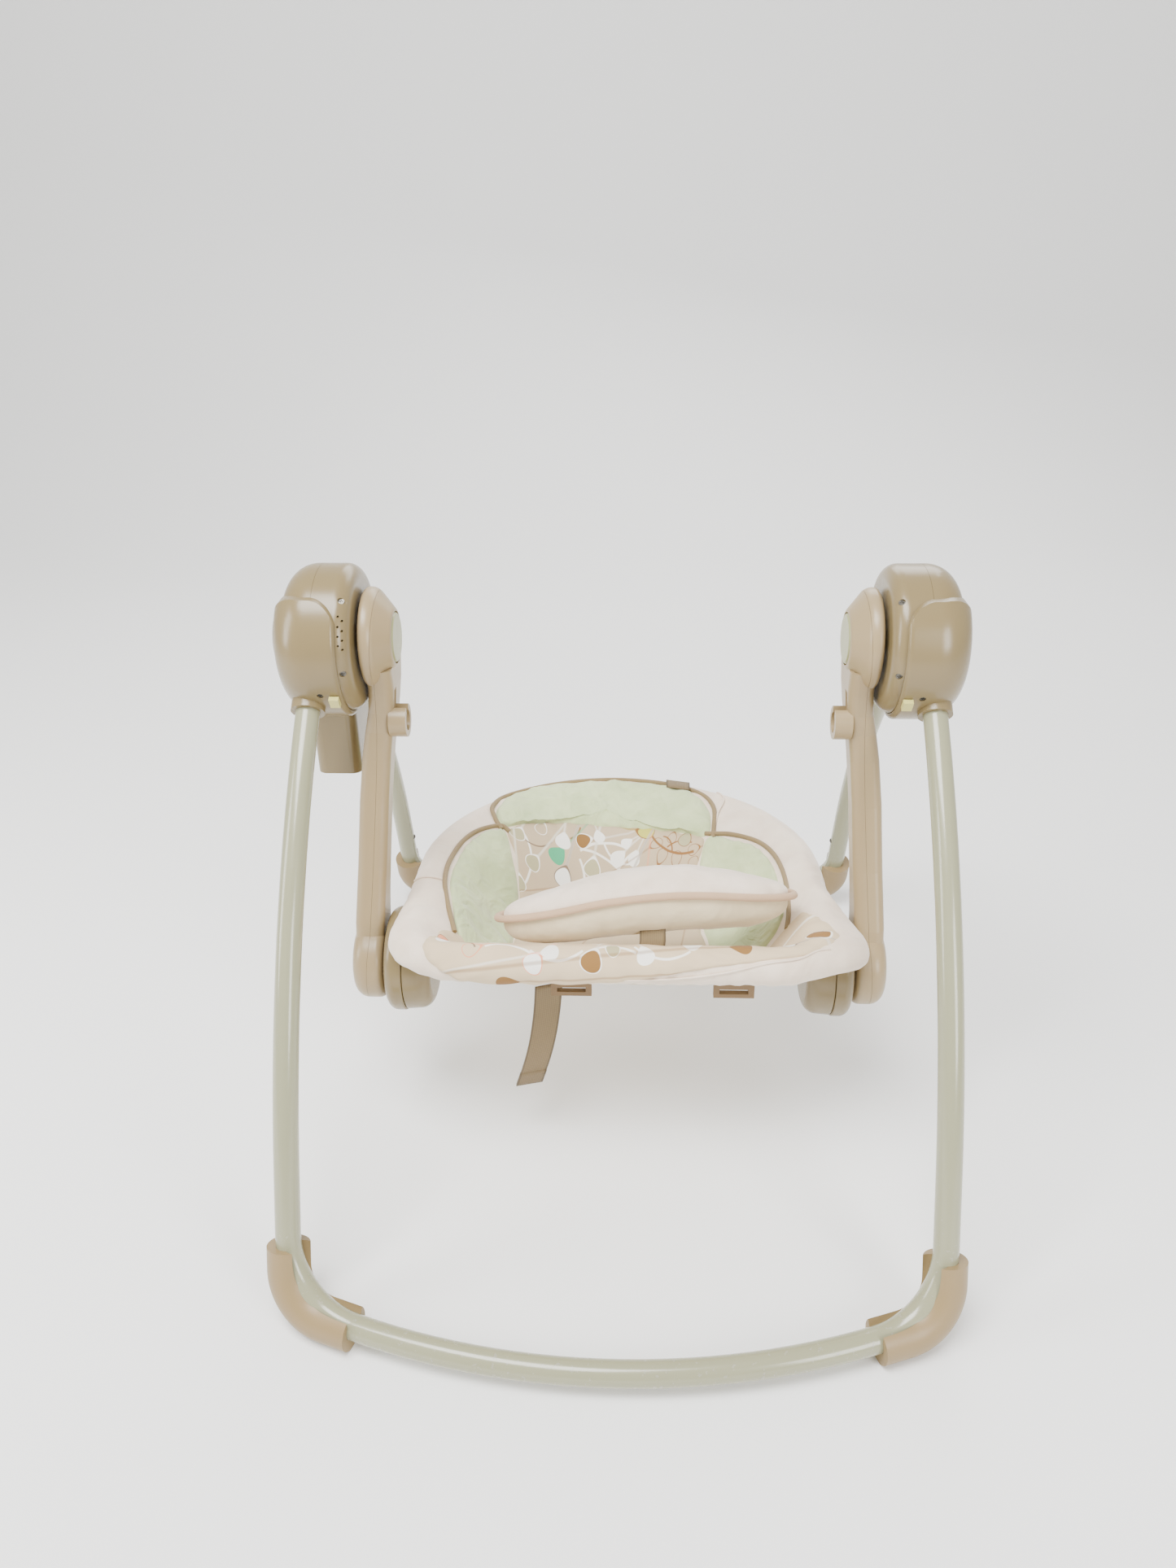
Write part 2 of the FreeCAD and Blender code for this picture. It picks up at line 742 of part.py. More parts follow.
TAB_LOW = DRUM + GAP + 0.8
TAB_TOP = DRUM + COWL + 4.5
tab_slot = tab_block("tab_slot", 4.6, -3.6, 3.6 + TAB_TRAVEL, DRUM - 2, DRUM + COWL + 5)
COWL_SCREWS = screw_places(DRUM + COWL, [(COWL_EDGE + 17, -24)])
COWL_SHANK = 1.2
cowl_bore = screw_bore("cowl_bore", COWL_SCREWS[0], COWL_SHANK)
cowl_blank = fuse("cowl_blank", cowl_cap, neck, hinge_ring)
cowl = cut("cowl", cowl_blank, neck_bore, pin_bore, tab_slot, cowl_bore)
both_sides(cowl, "front_leg_cowl")
screw_group("cowl_screws", COWL_SCREWS, COWL_SHANK)

stem = tab_block("tab_stem", 4, -3, 3, TAB_LOW, TAB_TOP - 3)
cap = tab_block("tab_cap", 8, -5, 5, DRUM + COWL + 0.4, TAB_TOP)
both_sides(fuse("tab", stem, cap), "fold_release_button")

# ---------------------------------------------------------------- swing arms

HEAD = size("head_radius")
HEAD_IN, HEAD_OUT = size("head_inner_face"), size("head_outer_face")
LOW_Y, LOW_Z = size("lower_hub_y"), size("lower_hub_z")
BULGE = size("arm_bulge_radius")
BULGE_IN, BULGE_OUT = size("arm_bulge_inner"), size("arm_bulge_outer")


def arm_blank(name, inset):
    """The whole arm, or its hollow when inset: head, neck and lower bulge."""
    head = turned(
        name + "_head",
        [
            (HEAD_IN + inset, 0, 0),
            (HEAD_IN + inset, 24, 6),
            (HEAD_IN + 15, HEAD - inset, 10 - 2 * inset),
            (HEAD_OUT - inset, HEAD - inset, 4 - inset / 2),
            (HEAD_OUT - inset, 0, 0),
        ],
    )
    neck_sections = [
        (202, 0, -20, 22, 60, 8),
        (202.6, -0.5, -42, 22, 49, 8),
        (205, -1.4, -62, 22.6, 42, 8),
        (208.4, -3.6, -80, 24, 38, 8),
        (212.2, -8.8, -104, 25.4, 35.6, 8),
        (216, -21, -142, 26, 34, 8),
        (219, -40.5, -196, 26, 34.6, 8),
        (220.6, -50, -222, 26, 38, 8),
        (221.8, -57.4, -244, 26, 43, 8),
        (222.6, -66, -280, 25, 50, 8),
    ]
    sections = []
    for x, y, z, wide, deep, radius in neck_sections:
        sections.append((x, y, z, wide - 2 * inset, deep - 2 * inset, radius - inset))
    neck_body = place(lofted(name + "_neck", sections))
    bulge = turned(
        name + "_bulge",
        [
            (BULGE_IN + inset, 0, 0),
            (BULGE_IN + inset, BULGE - inset, 7),
            (BULGE_OUT - inset, BULGE - inset, 12),
            (BULGE_OUT - inset, 0, 0),
        ],
        y="Sizes.lower_hub_y",
        z="Sizes.lower_hub_z",
    )
    return fuse(name, head, neck_body, bulge)


arm_seam = math.degrees(math.atan2(BULGE_OUT - 14 - (HEAD_IN + 15), -LOW_Z))
seam_turn = Rotation(Vector(0, 1, 0), -arm_seam)
arm_solid = cut("arm_hollow", arm_blank("arm_outside", 0), arm_blank("arm_inside", size("arm_wall")))
arm_inner_half = box("arm_inner_half", "80", "400", "700", "0", "-200", "0")
arm_outer_half = box("arm_outer_half", "80", "400", "700", "0", "-200", "0")
for half, offset in ((arm_inner_half, -80.1), (arm_outer_half, 0.1)):
    corner = seam_turn.multVec(Vector(offset, 0, -500))
    place(half, f"{HEAD_IN + 15 + corner.x}", "-200", f"{corner.z}", seam_turn)

head_bore = rod("head_bore", "Sizes.axle_radius + Sizes.pin_gap", "60", "Sizes.head_inner_face - 10")
foot_bore = rod(
    "foot_bore", "Sizes.axle_radius - 1 + Sizes.pin_gap", "20", "Sizes.arm_bulge_inner - 10",
    "Sizes.lower_hub_y", "Sizes.lower_hub_z",
)
cap_recess = rod("cap_recess", "22.2", "6", "Sizes.head_inner_face - 4")
BAR_Y, BAR_Z, BAR_X = -12, -72, 183
socket_body = rod("socket_body", "Sizes.bar_socket_radius", "15", f"{BAR_X}", f"{BAR_Y}", f"{BAR_Z}")
socket_bore = rod(
    "socket_bore", "Sizes.bar_bore_radius", "Sizes.bar_bore_depth + 1", f"{BAR_X - 1}",
    f"{BAR_Y}", f"{BAR_Z}",
)
socket_slot = box(
    "socket_slot", "Sizes.bar_bore_depth + 1", "9", "30", f"{BAR_X - 1}", f"{BAR_Y - 4.5}", f"{BAR_Z}"
)
arm_inside = doc.getObject("arm_inside")
inner_arm = cut(
    "inner_arm_cut",
    cut(
        "inner_arm_hollowed",
        fuse(
            "inner_arm_blank",
            common("inner_arm_half", doc.getObject("arm_outside"), arm_inner_half),
            socket_body,
        ),
        arm_inside,
    ),
    head_bore, foot_bore, cap_recess, socket_bore, socket_slot,
)
outer_arm = cut("outer_arm_cut", common("outer_arm_half", arm_solid, arm_outer_half), head_bore)
both_sides(inner_arm, "arm_inner_shell")
both_sides(outer_arm, "arm_outer_shell")

cap_disc = turned(
    "cap_disc",
    [(HEAD_IN - 1, 0, 0), (HEAD_IN - 1, 20, 1.5), (HEAD_IN + 1.9, 22, 0.5), (HEAD_IN + 1.9, 0, 0)],
)
both_sides(cap_disc, "arm_cap")

AXLE_END = 238
axle_length = f"{AXLE_END} - Sizes.head_inner_face - 4"
axle = rod("axle_rod", "Sizes.axle_radius", axle_length, "Sizes.head_inner_face + 4")
both_sides(axle, "pivot_axle")
bush = cut(
    "bush_cut",
    fuse(
        "bush_blank",
        rod("bush_sleeve", "Sizes.axle_radius + 0.95", "7", "Sizes.drum_inner_face - 0.5"),
        rod("bush_flange", "Sizes.axle_radius + 4", "1.5", "Sizes.drum_inner_face + Sizes.shell_wall + 0.1"),
    ),
    rod("bush_bore", "Sizes.axle_radius + Sizes.pin_gap", "20", "Sizes.drum_inner_face - 5"),
)
both_sides(bush, "pivot_bush")
retainer = cut(
    "retainer_cut",
    rod("retainer_disc", "Sizes.axle_radius + 4", "2", "226"),
    rod("retainer_bore", "Sizes.axle_radius + Sizes.pin_gap", "10", "222"),
)
keep(retainer, "axle_retainer_right")

# ---------------------------------------------------------------- swing drive, left side

MODULE = size("gear_module")
GEAR_TEETH = int(size("gear_teeth"))
PINION_TEETH = int(size("pinion_teeth"))
GEAR_X = -231
GEAR_WIDE = 5


def toothed_wheel(name, teeth, thin, width, x, bore, first_angle):
    """A spur wheel with straight-flanked teeth; thin is the tooth's share of the pitch."""
    pitch_radius = MODULE * teeth / 2
    root = pitch_radius - 1.15 * MODULE
    tip = pitch_radius + 0.85 * MODULE
    step = 2 * math.pi / teeth
    points = []
    for i in range(teeth):
        centre = math.radians(first_angle) + i * step
        flank = ((root, -thin * 0.72), (tip, -thin * 0.22), (tip, thin * 0.22), (root, thin * 0.72))
        for radius, share in flank:
            angle = centre + share * step
            points.append((radius * math.cos(angle), radius * math.sin(angle), 0))
    body = new_body(name)
    sketch = sketch_on(body, "YZ_Plane", name + "_outline", closed_outline(points))
    hole = Part.Circle(Vector(0, 0, 0), Vector(0, 0, 1), bore)
    sketch.addGeometry([hole], False)
    pad = body.newObject("PartDesign::Pad", name + "_pad")
    pad.Profile = sketch
    pad.Length = width
    return body


GEAR_DISTANCE = MODULE * (GEAR_TEETH + PINION_TEETH) / 2 + 0.15
AXLE_BORE = size("axle_radius") + size("pin_gap")
gear = toothed_wheel("gear", GEAR_TEETH, 0.5, GEAR_WIDE, GEAR_X, AXLE_BORE, 90)
keep(place(gear, f"{GEAR_X}"), "drive_gear")
pinion_first = 90 + 180 / PINION_TEETH
pinion = toothed_wheel("pinion", PINION_TEETH, 0.42, GEAR_WIDE + 1, GEAR_X, 1.05, -pinion_first)
keep(place(pinion, f"{GEAR_X - 0.5}", "0", f"{GEAR_DISTANCE}"), "motor_pinion")
MOTOR_X = -262
motor_can = rod("motor_can", "11.4", "29.5", f"{MOTOR_X}", "0", f"{GEAR_DISTANCE}")
motor_shaft = rod("motor_shaft", "1", "10", f"{MOTOR_X + 27}", "0", f"{GEAR_DISTANCE}")
keep(fuse("motor", motor_can, motor_shaft), "drive_motor")
keep(box("board", "1.6", "40", "24", "-272.4", "-16", "10"), "circuit_board")
keep(rod("speaker_disc", "11", "3.4", "-223.3", "-36", "20"), "speaker")

# ---------------------------------------------------------------- control pod, left side

POD_FACE = -287.5
pod_wall = 2.5
pod_section = [
    (OUTER_FACE + 0.1, 31, 1), (-POD_FACE, 31, 7), (-POD_FACE, 0, 0),
    (-POD_FACE - pod_wall, 0, 0), (-POD_FACE - pod_wall, 28, 4), (OUTER_FACE + 0.1, 28, 0),
]
DIAL_RADIUS = 10
BUTTON_RADIUS = 4
pod_half = turned("pod_turned", pod_section)
pod_left = mirrored("pod_mirrored", pod_half)
BUTTON_PLACES = {"melody_button": (-13, -15), "volume_button": (13, -15)}
pod_holes = [rod("dial_hole", "3.1", "20", f"{POD_FACE - 5}", "0", "4")]
for label, (y, z) in BUTTON_PLACES.items():
    pod_holes.append(rod(label + "_hole", f"{BUTTON_RADIUS + 0.1}", "20", f"{POD_FACE - 5}", f"{y}", f"{z}"))
keep(cut("pod_cut", pod_left, *pod_holes), "control_pod")
dial = fuse(
    "dial_blank",
    rod("dial_knob", f"{DIAL_RADIUS}", "2.6", f"{POD_FACE - 2.9}", "0", "4"),
    rod("dial_stem", "3", "8", f"{POD_FACE - 1}", "0", "4"),
)
pointer = box("dial_pointer", "1", "1.4", "6", f"{POD_FACE - 3.1}", "-0.7", "7")
keep(cut("dial_cut", dial, pointer), "speed_dial")
for label, (y, z) in BUTTON_PLACES.items():
    button_cap = rod(label + "_cap", f"{BUTTON_RADIUS}", "5.5", f"{POD_FACE - 2}", f"{y}", f"{z}")
    button_rim = rod(label + "_rim", f"{BUTTON_RADIUS + 1}", "1", f"{POD_FACE + 3.0}", f"{y}", f"{z}")
    keep(fuse(label + "_blank", button_cap, button_rim), label)

# ---------------------------------------------------------------- battery box, left side

BOX_X, BOX_LONG = -274, 40
BOX_Y, BOX_DEEP = 4, 60
BOX_Z, BOX_HIGH = -134, 96
BOX_WALL = 2.5


def rounded_block(name, x, y, z, long, deep, high, radius):
    """A block with its upright edges and its lower edges rounded."""
    body = new_body(name)
    corners = [(0, 0, radius), (long, 0, radius), (long, deep, radius), (0, deep, radius)]
    sketch = sketch_on(body, "XY_Plane", name + "_outline", closed_outline(corners))
    pad = body.newObject("PartDesign::Pad", name + "_pad")
    pad.Profile = sketch
    pad.Length = high
    return place(body, f"{x}", f"{y}", f"{z}")


box_outside = rounded_block("battery_outside", BOX_X, BOX_Y, BOX_Z, BOX_LONG, BOX_DEEP, BOX_HIGH, 9)
box_inside = rounded_block(
    "battery_inside", BOX_X + BOX_WALL, BOX_Y + BOX_WALL, BOX_Z + BOX_WALL,
    BOX_LONG - 2 * BOX_WALL, BOX_DEEP - 2 * BOX_WALL, BOX_HIGH, 6.5,
)
drum_clear = rod("drum_clear", "Sizes.drum_radius + 0.2", "100", "-300")
cowl_clear = sector(
    "cowl_clear", "Sizes.drum_radius + Sizes.cowl_gap + Sizes.cowl_wall + 0.5", "-300", "100", -30,
    "Sizes.fold_angle + 22",
)
boss_clear_right = straight_of(REAR_LEG, "boss_clear", "Sizes.boss_radius + 0.2", 18, "60")
tube_clear = straight_of(REAR_LEG, "tube_clear", "Sizes.tube_dia / 2 + 0.2", 18, "160")
door_opening = box(
    "door_opening", "27", "10", "60", f"{BOX_X + 6.5}", f"{BOX_Y + BOX_DEEP - 5}", f"{BOX_Z + 8}"
)
battery_case = cut(
    "battery_case_cut", box_outside, box_inside, drum_clear, cowl_clear,
    mirrored("boss_clear_left", boss_clear_right), mirrored("tube_clear_left", tube_clear), door_opening,
)
keep(battery_case, "battery_case")
keep(
    box("door", "26.6", "2.3", "59.6", f"{BOX_X + 6.7}", f"{BOX_Y + BOX_DEEP - 2.4}", f"{BOX_Z + 8.2}"),
    "battery_door",
)
CELL_RADIUS, CELL_LONG = 7.2, 50
cells = []
for i in range(2):
    for j in range(2):
        at = HUB + Vector(BOX_X + 12.2 + 15.6 * i, BOX_Y + 16 + 16 * j, BOX_Z + 4)
        body_can = Part.makeCylinder(CELL_RADIUS, CELL_LONG - 2, at)
        cells.append(body_can.fuse(Part.makeCylinder(2.7, CELL_LONG, at)))
cell_group = doc.addObject("Part::Feature", "cells")
cell_group.Shape = Part.makeCompound(cells)
keep(cell_group, "battery_cells")

# ---------------------------------------------------------------- seat frame

SEAT_HUB = size("seat_hub_radius")
SEAT_OUT, SEAT_MID, SEAT_IN = size("seat_hub_outer"), size("seat_hub_middle"), size("seat_hub_inner")
TILT = Rotation(Vector(1, 0, 0), -size("seat_tilt"))
LOWER = {"y": "Sizes.lower_hub_y", "z": "Sizes.lower_hub_z"}
RING = {"y": "Sizes.lower_hub_y", "z": "Sizes.lower_hub_z + Sizes.seat_tube_rise"}
WIDE, FRONT, BACK = size("seat_half_width"), size("seat_front"), size("seat_back_centre")
CORNER = size("seat_corner_radius")

recline_radius = "Sizes.axle_radius - 1 + Sizes.pin_gap"
recline_bore = rod("recline_bore", recline_radius, "60", "Sizes.seat_hub_middle - 10", **LOWER)
hub_outer = turned(
    "hub_outer_turned",
    [(SEAT_MID + 0.1, 0, 0), (SEAT_MID + 0.1, SEAT_HUB, 1.5), (SEAT_OUT, SEAT_HUB, 9), (SEAT_OUT, 0, 0)],
    **LOWER,
)
both_sides(cut("hub_outer_cut", hub_outer, recline_bore), "seat_hub_outer_shell")
hub_inner = turned(
    "hub_inner_turned",
    [
        (SEAT_IN, 0, 0),
        (SEAT_IN, SEAT_HUB - 3, 12),
        (SEAT_MID - 0.1, SEAT_HUB - 1, 1.5),
        (SEAT_MID - 0.1, 0, 0),
    ],
    **LOWER,
)
SADDLE = 12
saddle_turn = TILT * Rotation(Vector(1, 0, 0), -90)


def along_ring(name, radius, length, start):
    """A rod along the seat's side tube; start counts back from the hub."""
    at = TILT.multVec(Vector(0, start, 0))
    y = f"Sizes.lower_hub_y + {at.y}"
    z = f"Sizes.lower_hub_z + Sizes.seat_tube_rise + {at.z}"
    return rod(name, radius, length, "Sizes.seat_half_width", y, z, saddle_turn)


saddle = along_ring("saddle", f"{SADDLE}", "44", -22)
saddle_bore = along_ring("saddle_bore", "Sizes.seat_tube_dia / 2 + Sizes.pin_gap", "120", -60)
middle_plane = box("middle_plane", "30", "200", "200", "Sizes.seat_hub_middle - 0.1", "-170", "-400")
hub_inner_blank = cut("hub_inner_blank", fuse("hub_inner_fused", hub_inner, saddle), middle_plane)
recline_pin = rod("recline_pin_rod", "Sizes.axle_radius - 1", "28", "Sizes.seat_hub_middle + 6", **LOWER)
both_sides(cut("hub_inner_cut", hub_inner_blank, saddle_bore), "seat_hub_inner_shell")
pair(recline_pin, "recline_pins")


def arc_through(*points):
    return Part.Arc(*[Vector(x, y, 0) for x, y in points])


def line_through(*points):
    return Part.LineSegment(*[Vector(x, y, 0) for x, y in points])


bend = CORNER * (1 - math.sqrt(0.5))
front_path = [
    line_through((WIDE, 0), (WIDE, -FRONT + CORNER)),
    arc_through((WIDE, -FRONT + CORNER), (WIDE - bend, -FRONT + bend), (WIDE - CORNER, -FRONT)),
    line_through((WIDE - CORNER, -FRONT), (-WIDE + CORNER, -FRONT)),
    arc_through((-WIDE + CORNER, -FRONT), (-WIDE + bend, -FRONT + bend), (-WIDE, -FRONT + CORNER)),
    line_through((-WIDE, -FRONT + CORNER), (-WIDE, 0)),
]
back_path = [
    line_through((WIDE, 0), (WIDE, BACK)),
    arc_through((WIDE, BACK), (0, BACK + WIDE), (-WIDE, BACK)),
    line_through((-WIDE, BACK), (-WIDE, 0)),
]
SEAT_TUBE = "Sizes.seat_tube_dia / 2"
SEAT_BORE = "Sizes.seat_tube_dia / 2 - Sizes.seat_tube_wall"
for label, path in (("seat_front_tube", front_path), ("seat_back_tube", back_path)):
    tube = piped(label + "_body", "XY_Plane", path, "XZ_Plane", WIDE, 0, SEAT_TUBE, SEAT_BORE)
    keep(place(tube, "0", RING["y"], RING["z"], TILT), label)

# ---------------------------------------------------------------- soft goods, plain solids


def seat_outline(inset):
    """The seat ring's outline, drawn in from the tube's centre line."""
    wide, front, corner = WIDE - inset, FRONT - inset, max(CORNER - inset, 8)
    corner_bend = corner * (1 - math.sqrt(0.5))
    return [
        line_through((-wide + corner, -front), (wide - corner, -front)),
        arc_through(
            (wide - corner, -front), (wide - corner_bend, -front + corner_bend), (wide, -front + corner)
        ),
        line_through((wide, -front + corner), (wide, BACK)),
        arc_through((wide, BACK), (0, BACK + wide), (-wide, BACK)),
        line_through((-wide, BACK), (-wide, -front + corner)),
        arc_through(
            (-wide, -front + corner), (-wide + corner_bend, -front + corner_bend), (-wide + corner, -front)
        ),
    ]


def seat_loft(name, levels):
    """A loft through seat outlines given as (inset, height)."""
    body = new_body(name)
    sketches = []
    for i, (inset, height) in enumerate(levels):
        sketches.append(sketch_on(body, "XY_Plane", f"{name}_{i}", seat_outline(inset), str(height)))
    loft = body.newObject("PartDesign::AdditiveLoft", name + "_loft")
    loft.Profile = sketches[0]
    loft.Sections = sketches[1:]
    loft.Ruled = True
    return place(body, "0", RING["y"], RING["z"], TILT)


ROLL = size("roll_radius")
DEPTH = size("pouch_depth")
CLOTH = size("pouch_wall")
rim_steps = [(-ROLL + 3, -ROLL), (-ROLL, -ROLL + 5), (-ROLL, ROLL - 5), (-ROLL + 5, ROLL)]
rim_block = seat_loft("rim_block", rim_steps)
bowl_outside = seat_loft("bowl_outside", [(ROLL, 0), (ROLL + 16, -DEPTH * 0.55), (ROLL + 52, -DEPTH)])
bowl_inside = seat_loft(
    "bowl_inside",
    [
        (ROLL - 4, ROLL + 10),
        (ROLL - 2, 0),
        (ROLL + 16 + CLOTH, -DEPTH * 0.55 + 4),
        (ROLL + 52 + CLOTH, -DEPTH + CLOTH),
    ],
)
CHANNEL = size("seat_tube_dia") / 2 + 0.6
channel = seat_loft("channel_outer", [(-CHANNEL, -ROLL - 2), (-CHANNEL, CHANNEL)])
channel_core = seat_loft("channel_core", [(CHANNEL, -ROLL - 3), (CHANNEL, CHANNEL + 1)])
hub_clear = rod("hub_clear_right", "Sizes.seat_hub_radius + 1", "60", "Sizes.seat_hub_inner - 0.8", **LOWER)
saddle_clear = along_ring("saddle_clear_right", f"{SADDLE + 0.6}", "46", -23)
clearances = [hub_clear, saddle_clear]
clearances += [mirrored("hub_clear_left", hub_clear), mirrored("saddle_clear_left", saddle_clear)]
cover = cut(
    "cover_cut",
    fuse("cover_blank", rim_block, bowl_outside),
    bowl_inside,
    cut("channel", channel, channel_core),
    *clearances,
)
keep(cover, "seat_cover")

CUSHION = {"wide": 2 * WIDE - 122, "deep": 62, "high": 96}
cushion = new_body("cushion_body")
cushion_outline = closed_outline(
    [
        (-CUSHION["wide"] / 2, -CUSHION["deep"] / 2, 24),
        (CUSHION["wide"] / 2, -CUSHION["deep"] / 2, 24),
        (CUSHION["wide"] / 2, CUSHION["deep"] / 2, 24),
        (-CUSHION["wide"] / 2, CUSHION["deep"] / 2, 24),
    ]
)
cushion_sketch = sketch_on(cushion, "XY_Plane", "cushion_outline", cushion_outline)
cushion_pad = cushion.newObject("PartDesign::Pad", "cushion_pad")
cushion_pad.Profile = cushion_sketch
cushion_pad.Length = CUSHION["high"] / 2
place(cushion, f"{WIDE - 134}", "-78", "-236", Rotation(Vector(1, 0, 0), -18))
keep(cushion, "restraint_cushion")

GUIDE_AT = TILT.multVec(Vector(0, -FRONT - 6, -ROLL - 13.1))
guides = []
for i, x in enumerate((-38, 98)):
    y, z = LOW_Y + GUIDE_AT.y, LOW_Z + size("seat_tube_rise") + GUIDE_AT.z
    block = box(f"guide_{i}", "34", "6", "13", f"{x - 17}", f"{y}", f"{z}", TILT)
    window = box(f"guide_window_{i}", "24", "12", "4.5", f"{x - 12}", f"{y - 3}", f"{z + 4}", TILT)
    guides.append(cut(f"guide_cut_{i}", block, window))
guide_group = doc.addObject("Part::Compound", "guide_group")
guide_group.Links = guides
keep(guide_group, "strap_guides")

TAIL_LEAN = 14
tail_turn = Rotation(Vector(0, 1, 0), TAIL_LEAN)
tail = box("tail_strip", "25", "1.8", "118", "-94", f"{LOW_Y - FRONT + 18}", "-386", tail_turn)
keep(tail, "strap_tail")

# ---------------------------------------------------------------- check and write

doc.recompute()
failed = []
for made in doc.Objects:
    if "Invalid" in made.State or "Error" in made.State:
        failed.append(f"{made.Name} {made.State}")
for made in SUBPARTS:
    if made.Shape.isNull() or not made.Shape.isValid() or made.Shape.Volume <= 0:
        failed.append(f"{made.Label} has no valid shape")
if failed:
    raise RuntimeError("; ".join(failed))
for made in SUBPARTS:
    made.Shape.exportStep(os.path.join("parts", made.Label + ".step"))
print(len(SUBPARTS), "sub-parts")
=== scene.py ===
import json
import math

import bmesh
import bpy
from mathutils import Matrix, Vector, noise


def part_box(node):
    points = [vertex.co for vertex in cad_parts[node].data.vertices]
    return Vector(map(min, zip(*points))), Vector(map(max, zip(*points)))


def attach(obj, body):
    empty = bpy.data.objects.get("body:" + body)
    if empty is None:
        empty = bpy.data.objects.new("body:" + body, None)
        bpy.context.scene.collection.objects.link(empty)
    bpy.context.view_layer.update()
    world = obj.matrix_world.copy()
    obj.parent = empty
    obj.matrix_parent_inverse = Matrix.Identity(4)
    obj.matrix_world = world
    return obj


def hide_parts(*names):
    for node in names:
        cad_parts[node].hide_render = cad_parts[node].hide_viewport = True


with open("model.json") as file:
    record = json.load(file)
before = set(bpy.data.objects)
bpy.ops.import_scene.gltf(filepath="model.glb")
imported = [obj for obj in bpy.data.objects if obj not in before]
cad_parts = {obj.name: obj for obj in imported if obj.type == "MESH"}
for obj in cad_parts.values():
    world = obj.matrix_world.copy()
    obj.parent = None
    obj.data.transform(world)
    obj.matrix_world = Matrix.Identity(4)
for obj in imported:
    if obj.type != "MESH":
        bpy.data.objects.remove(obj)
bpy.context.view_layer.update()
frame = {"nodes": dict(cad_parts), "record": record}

MM = 0.001
WELD = 0.00002
scene = bpy.context.scene
nodes = frame["nodes"]

# ------------------------------------------------------------------ camera, light, floor

CAMERA_AT = Vector((0.0095, -0.8954, 0.8199))
CAMERA_PITCH, CAMERA_YAW, CAMERA_ROLL = (math.radians(a) for a in (28.882, -2.358, 0.683))
LENS = 26.5


def make_camera():
    """A camera in front of the seat, looking down at it."""
    ahead = Vector(
        (
            math.sin(CAMERA_YAW) * math.cos(CAMERA_PITCH),
            math.cos(CAMERA_YAW) * math.cos(CAMERA_PITCH),
            -math.sin(CAMERA_PITCH),
        )
    )
    level = Vector((math.cos(CAMERA_YAW), -math.sin(CAMERA_YAW), 0))
    below = ahead.cross(level)
    right = level * math.cos(CAMERA_ROLL) + below * math.sin(CAMERA_ROLL)
    down = below * math.cos(CAMERA_ROLL) - level * math.sin(CAMERA_ROLL)
    data = bpy.data.cameras.new("camera")
    data.lens = LENS
    data.sensor_width = 36
    camera = bpy.data.objects.new("camera", data)
    scene.collection.objects.link(camera)
    turn = Matrix((right, -down, -ahead)).transposed()
    camera.matrix_world = Matrix.Translation(CAMERA_AT) @ turn.to_4x4()
    scene.camera = camera


def soft_lamp(name, at, aim, width, power):
    data = bpy.data.lights.new(name, "AREA")
    data.shape = "RECTANGLE"
    data.size, data.size_y = width
    data.energy = power
    lamp = bpy.data.objects.new(name, data)
    scene.collection.objects.link(lamp)
    lamp.location = at
    lamp.rotation_mode = "QUATERNION"
    lamp.rotation_quaternion = (Vector(aim) - Vector(at)).to_track_quat("-Z", "Y")


def make_light():
    world = bpy.data.worlds.new("studio")
    world.use_nodes = True
    background = world.node_tree.nodes["Background"]
    background.inputs["Color"].default_value = (1.0, 0.99, 0.97, 1)
    background.inputs["Strength"].default_value = 0.85
    scene.world = world
    soft_lamp("lamp_above", (-0.5, -0.7, 2.3), (0, 0, 0.3), (1.3, 1.0), 95)
    soft_lamp("lamp_front", (1.3, -1.7, 1.1), (0, 0, 0.3), (0.7, 1.0), 34)
    soft_lamp("lamp_side", (-1.9, -0.6, 1.0), (0, 0, 0.3), (0.5, 1.2), 24)
    soft_lamp("lamp_back", (0.4, 1.9, 1.5), (0, 0, 0.3), (1.6, 1.0), 26)


# ------------------------------------------------------------------ shader arithmetic


class Wire:
    """A node's output, with arithmetic that adds Math nodes."""

    def __init__(self, recipe, socket):
        self.recipe, self.socket = recipe, socket

    def math(self, operation, *others, **settings):
        return self.recipe.node("Math", {"operation": operation, **settings}, self, *others)

    def __add__(self, other):
        return self.math("ADD", other)

    __radd__ = __add__

    def __mul__(self, other):
        return self.math("MULTIPLY", other)

    __rmul__ = __mul__

    def __sub__(self, other):
        return self.math("SUBTRACT", other)

    def __rsub__(self, other):
        return self.recipe.node("Math", {"operation": "SUBTRACT"}, other, self)

    def step(self, width):
        """0 below zero and 1 above it, with a soft edge this wide."""
        return self.math("MULTIPLY_ADD", 1 / width, 0.5, use_clamp=True)

    def split(self):
        return [Wire(self.recipe, s) for s in self.recipe.node("SeparateXYZ", {}, self).socket.node.outputs]


def tint(red, green, blue):
    """A colour given as 0 to 255 on screen, as the shader wants it."""
    made = []
    for level in (red, green, blue):
        level /= 255
        made.append(level / 12.92 if level <= 0.04045 else ((level + 0.055) / 1.055) ** 2.4)
    return (*made, 1.0)


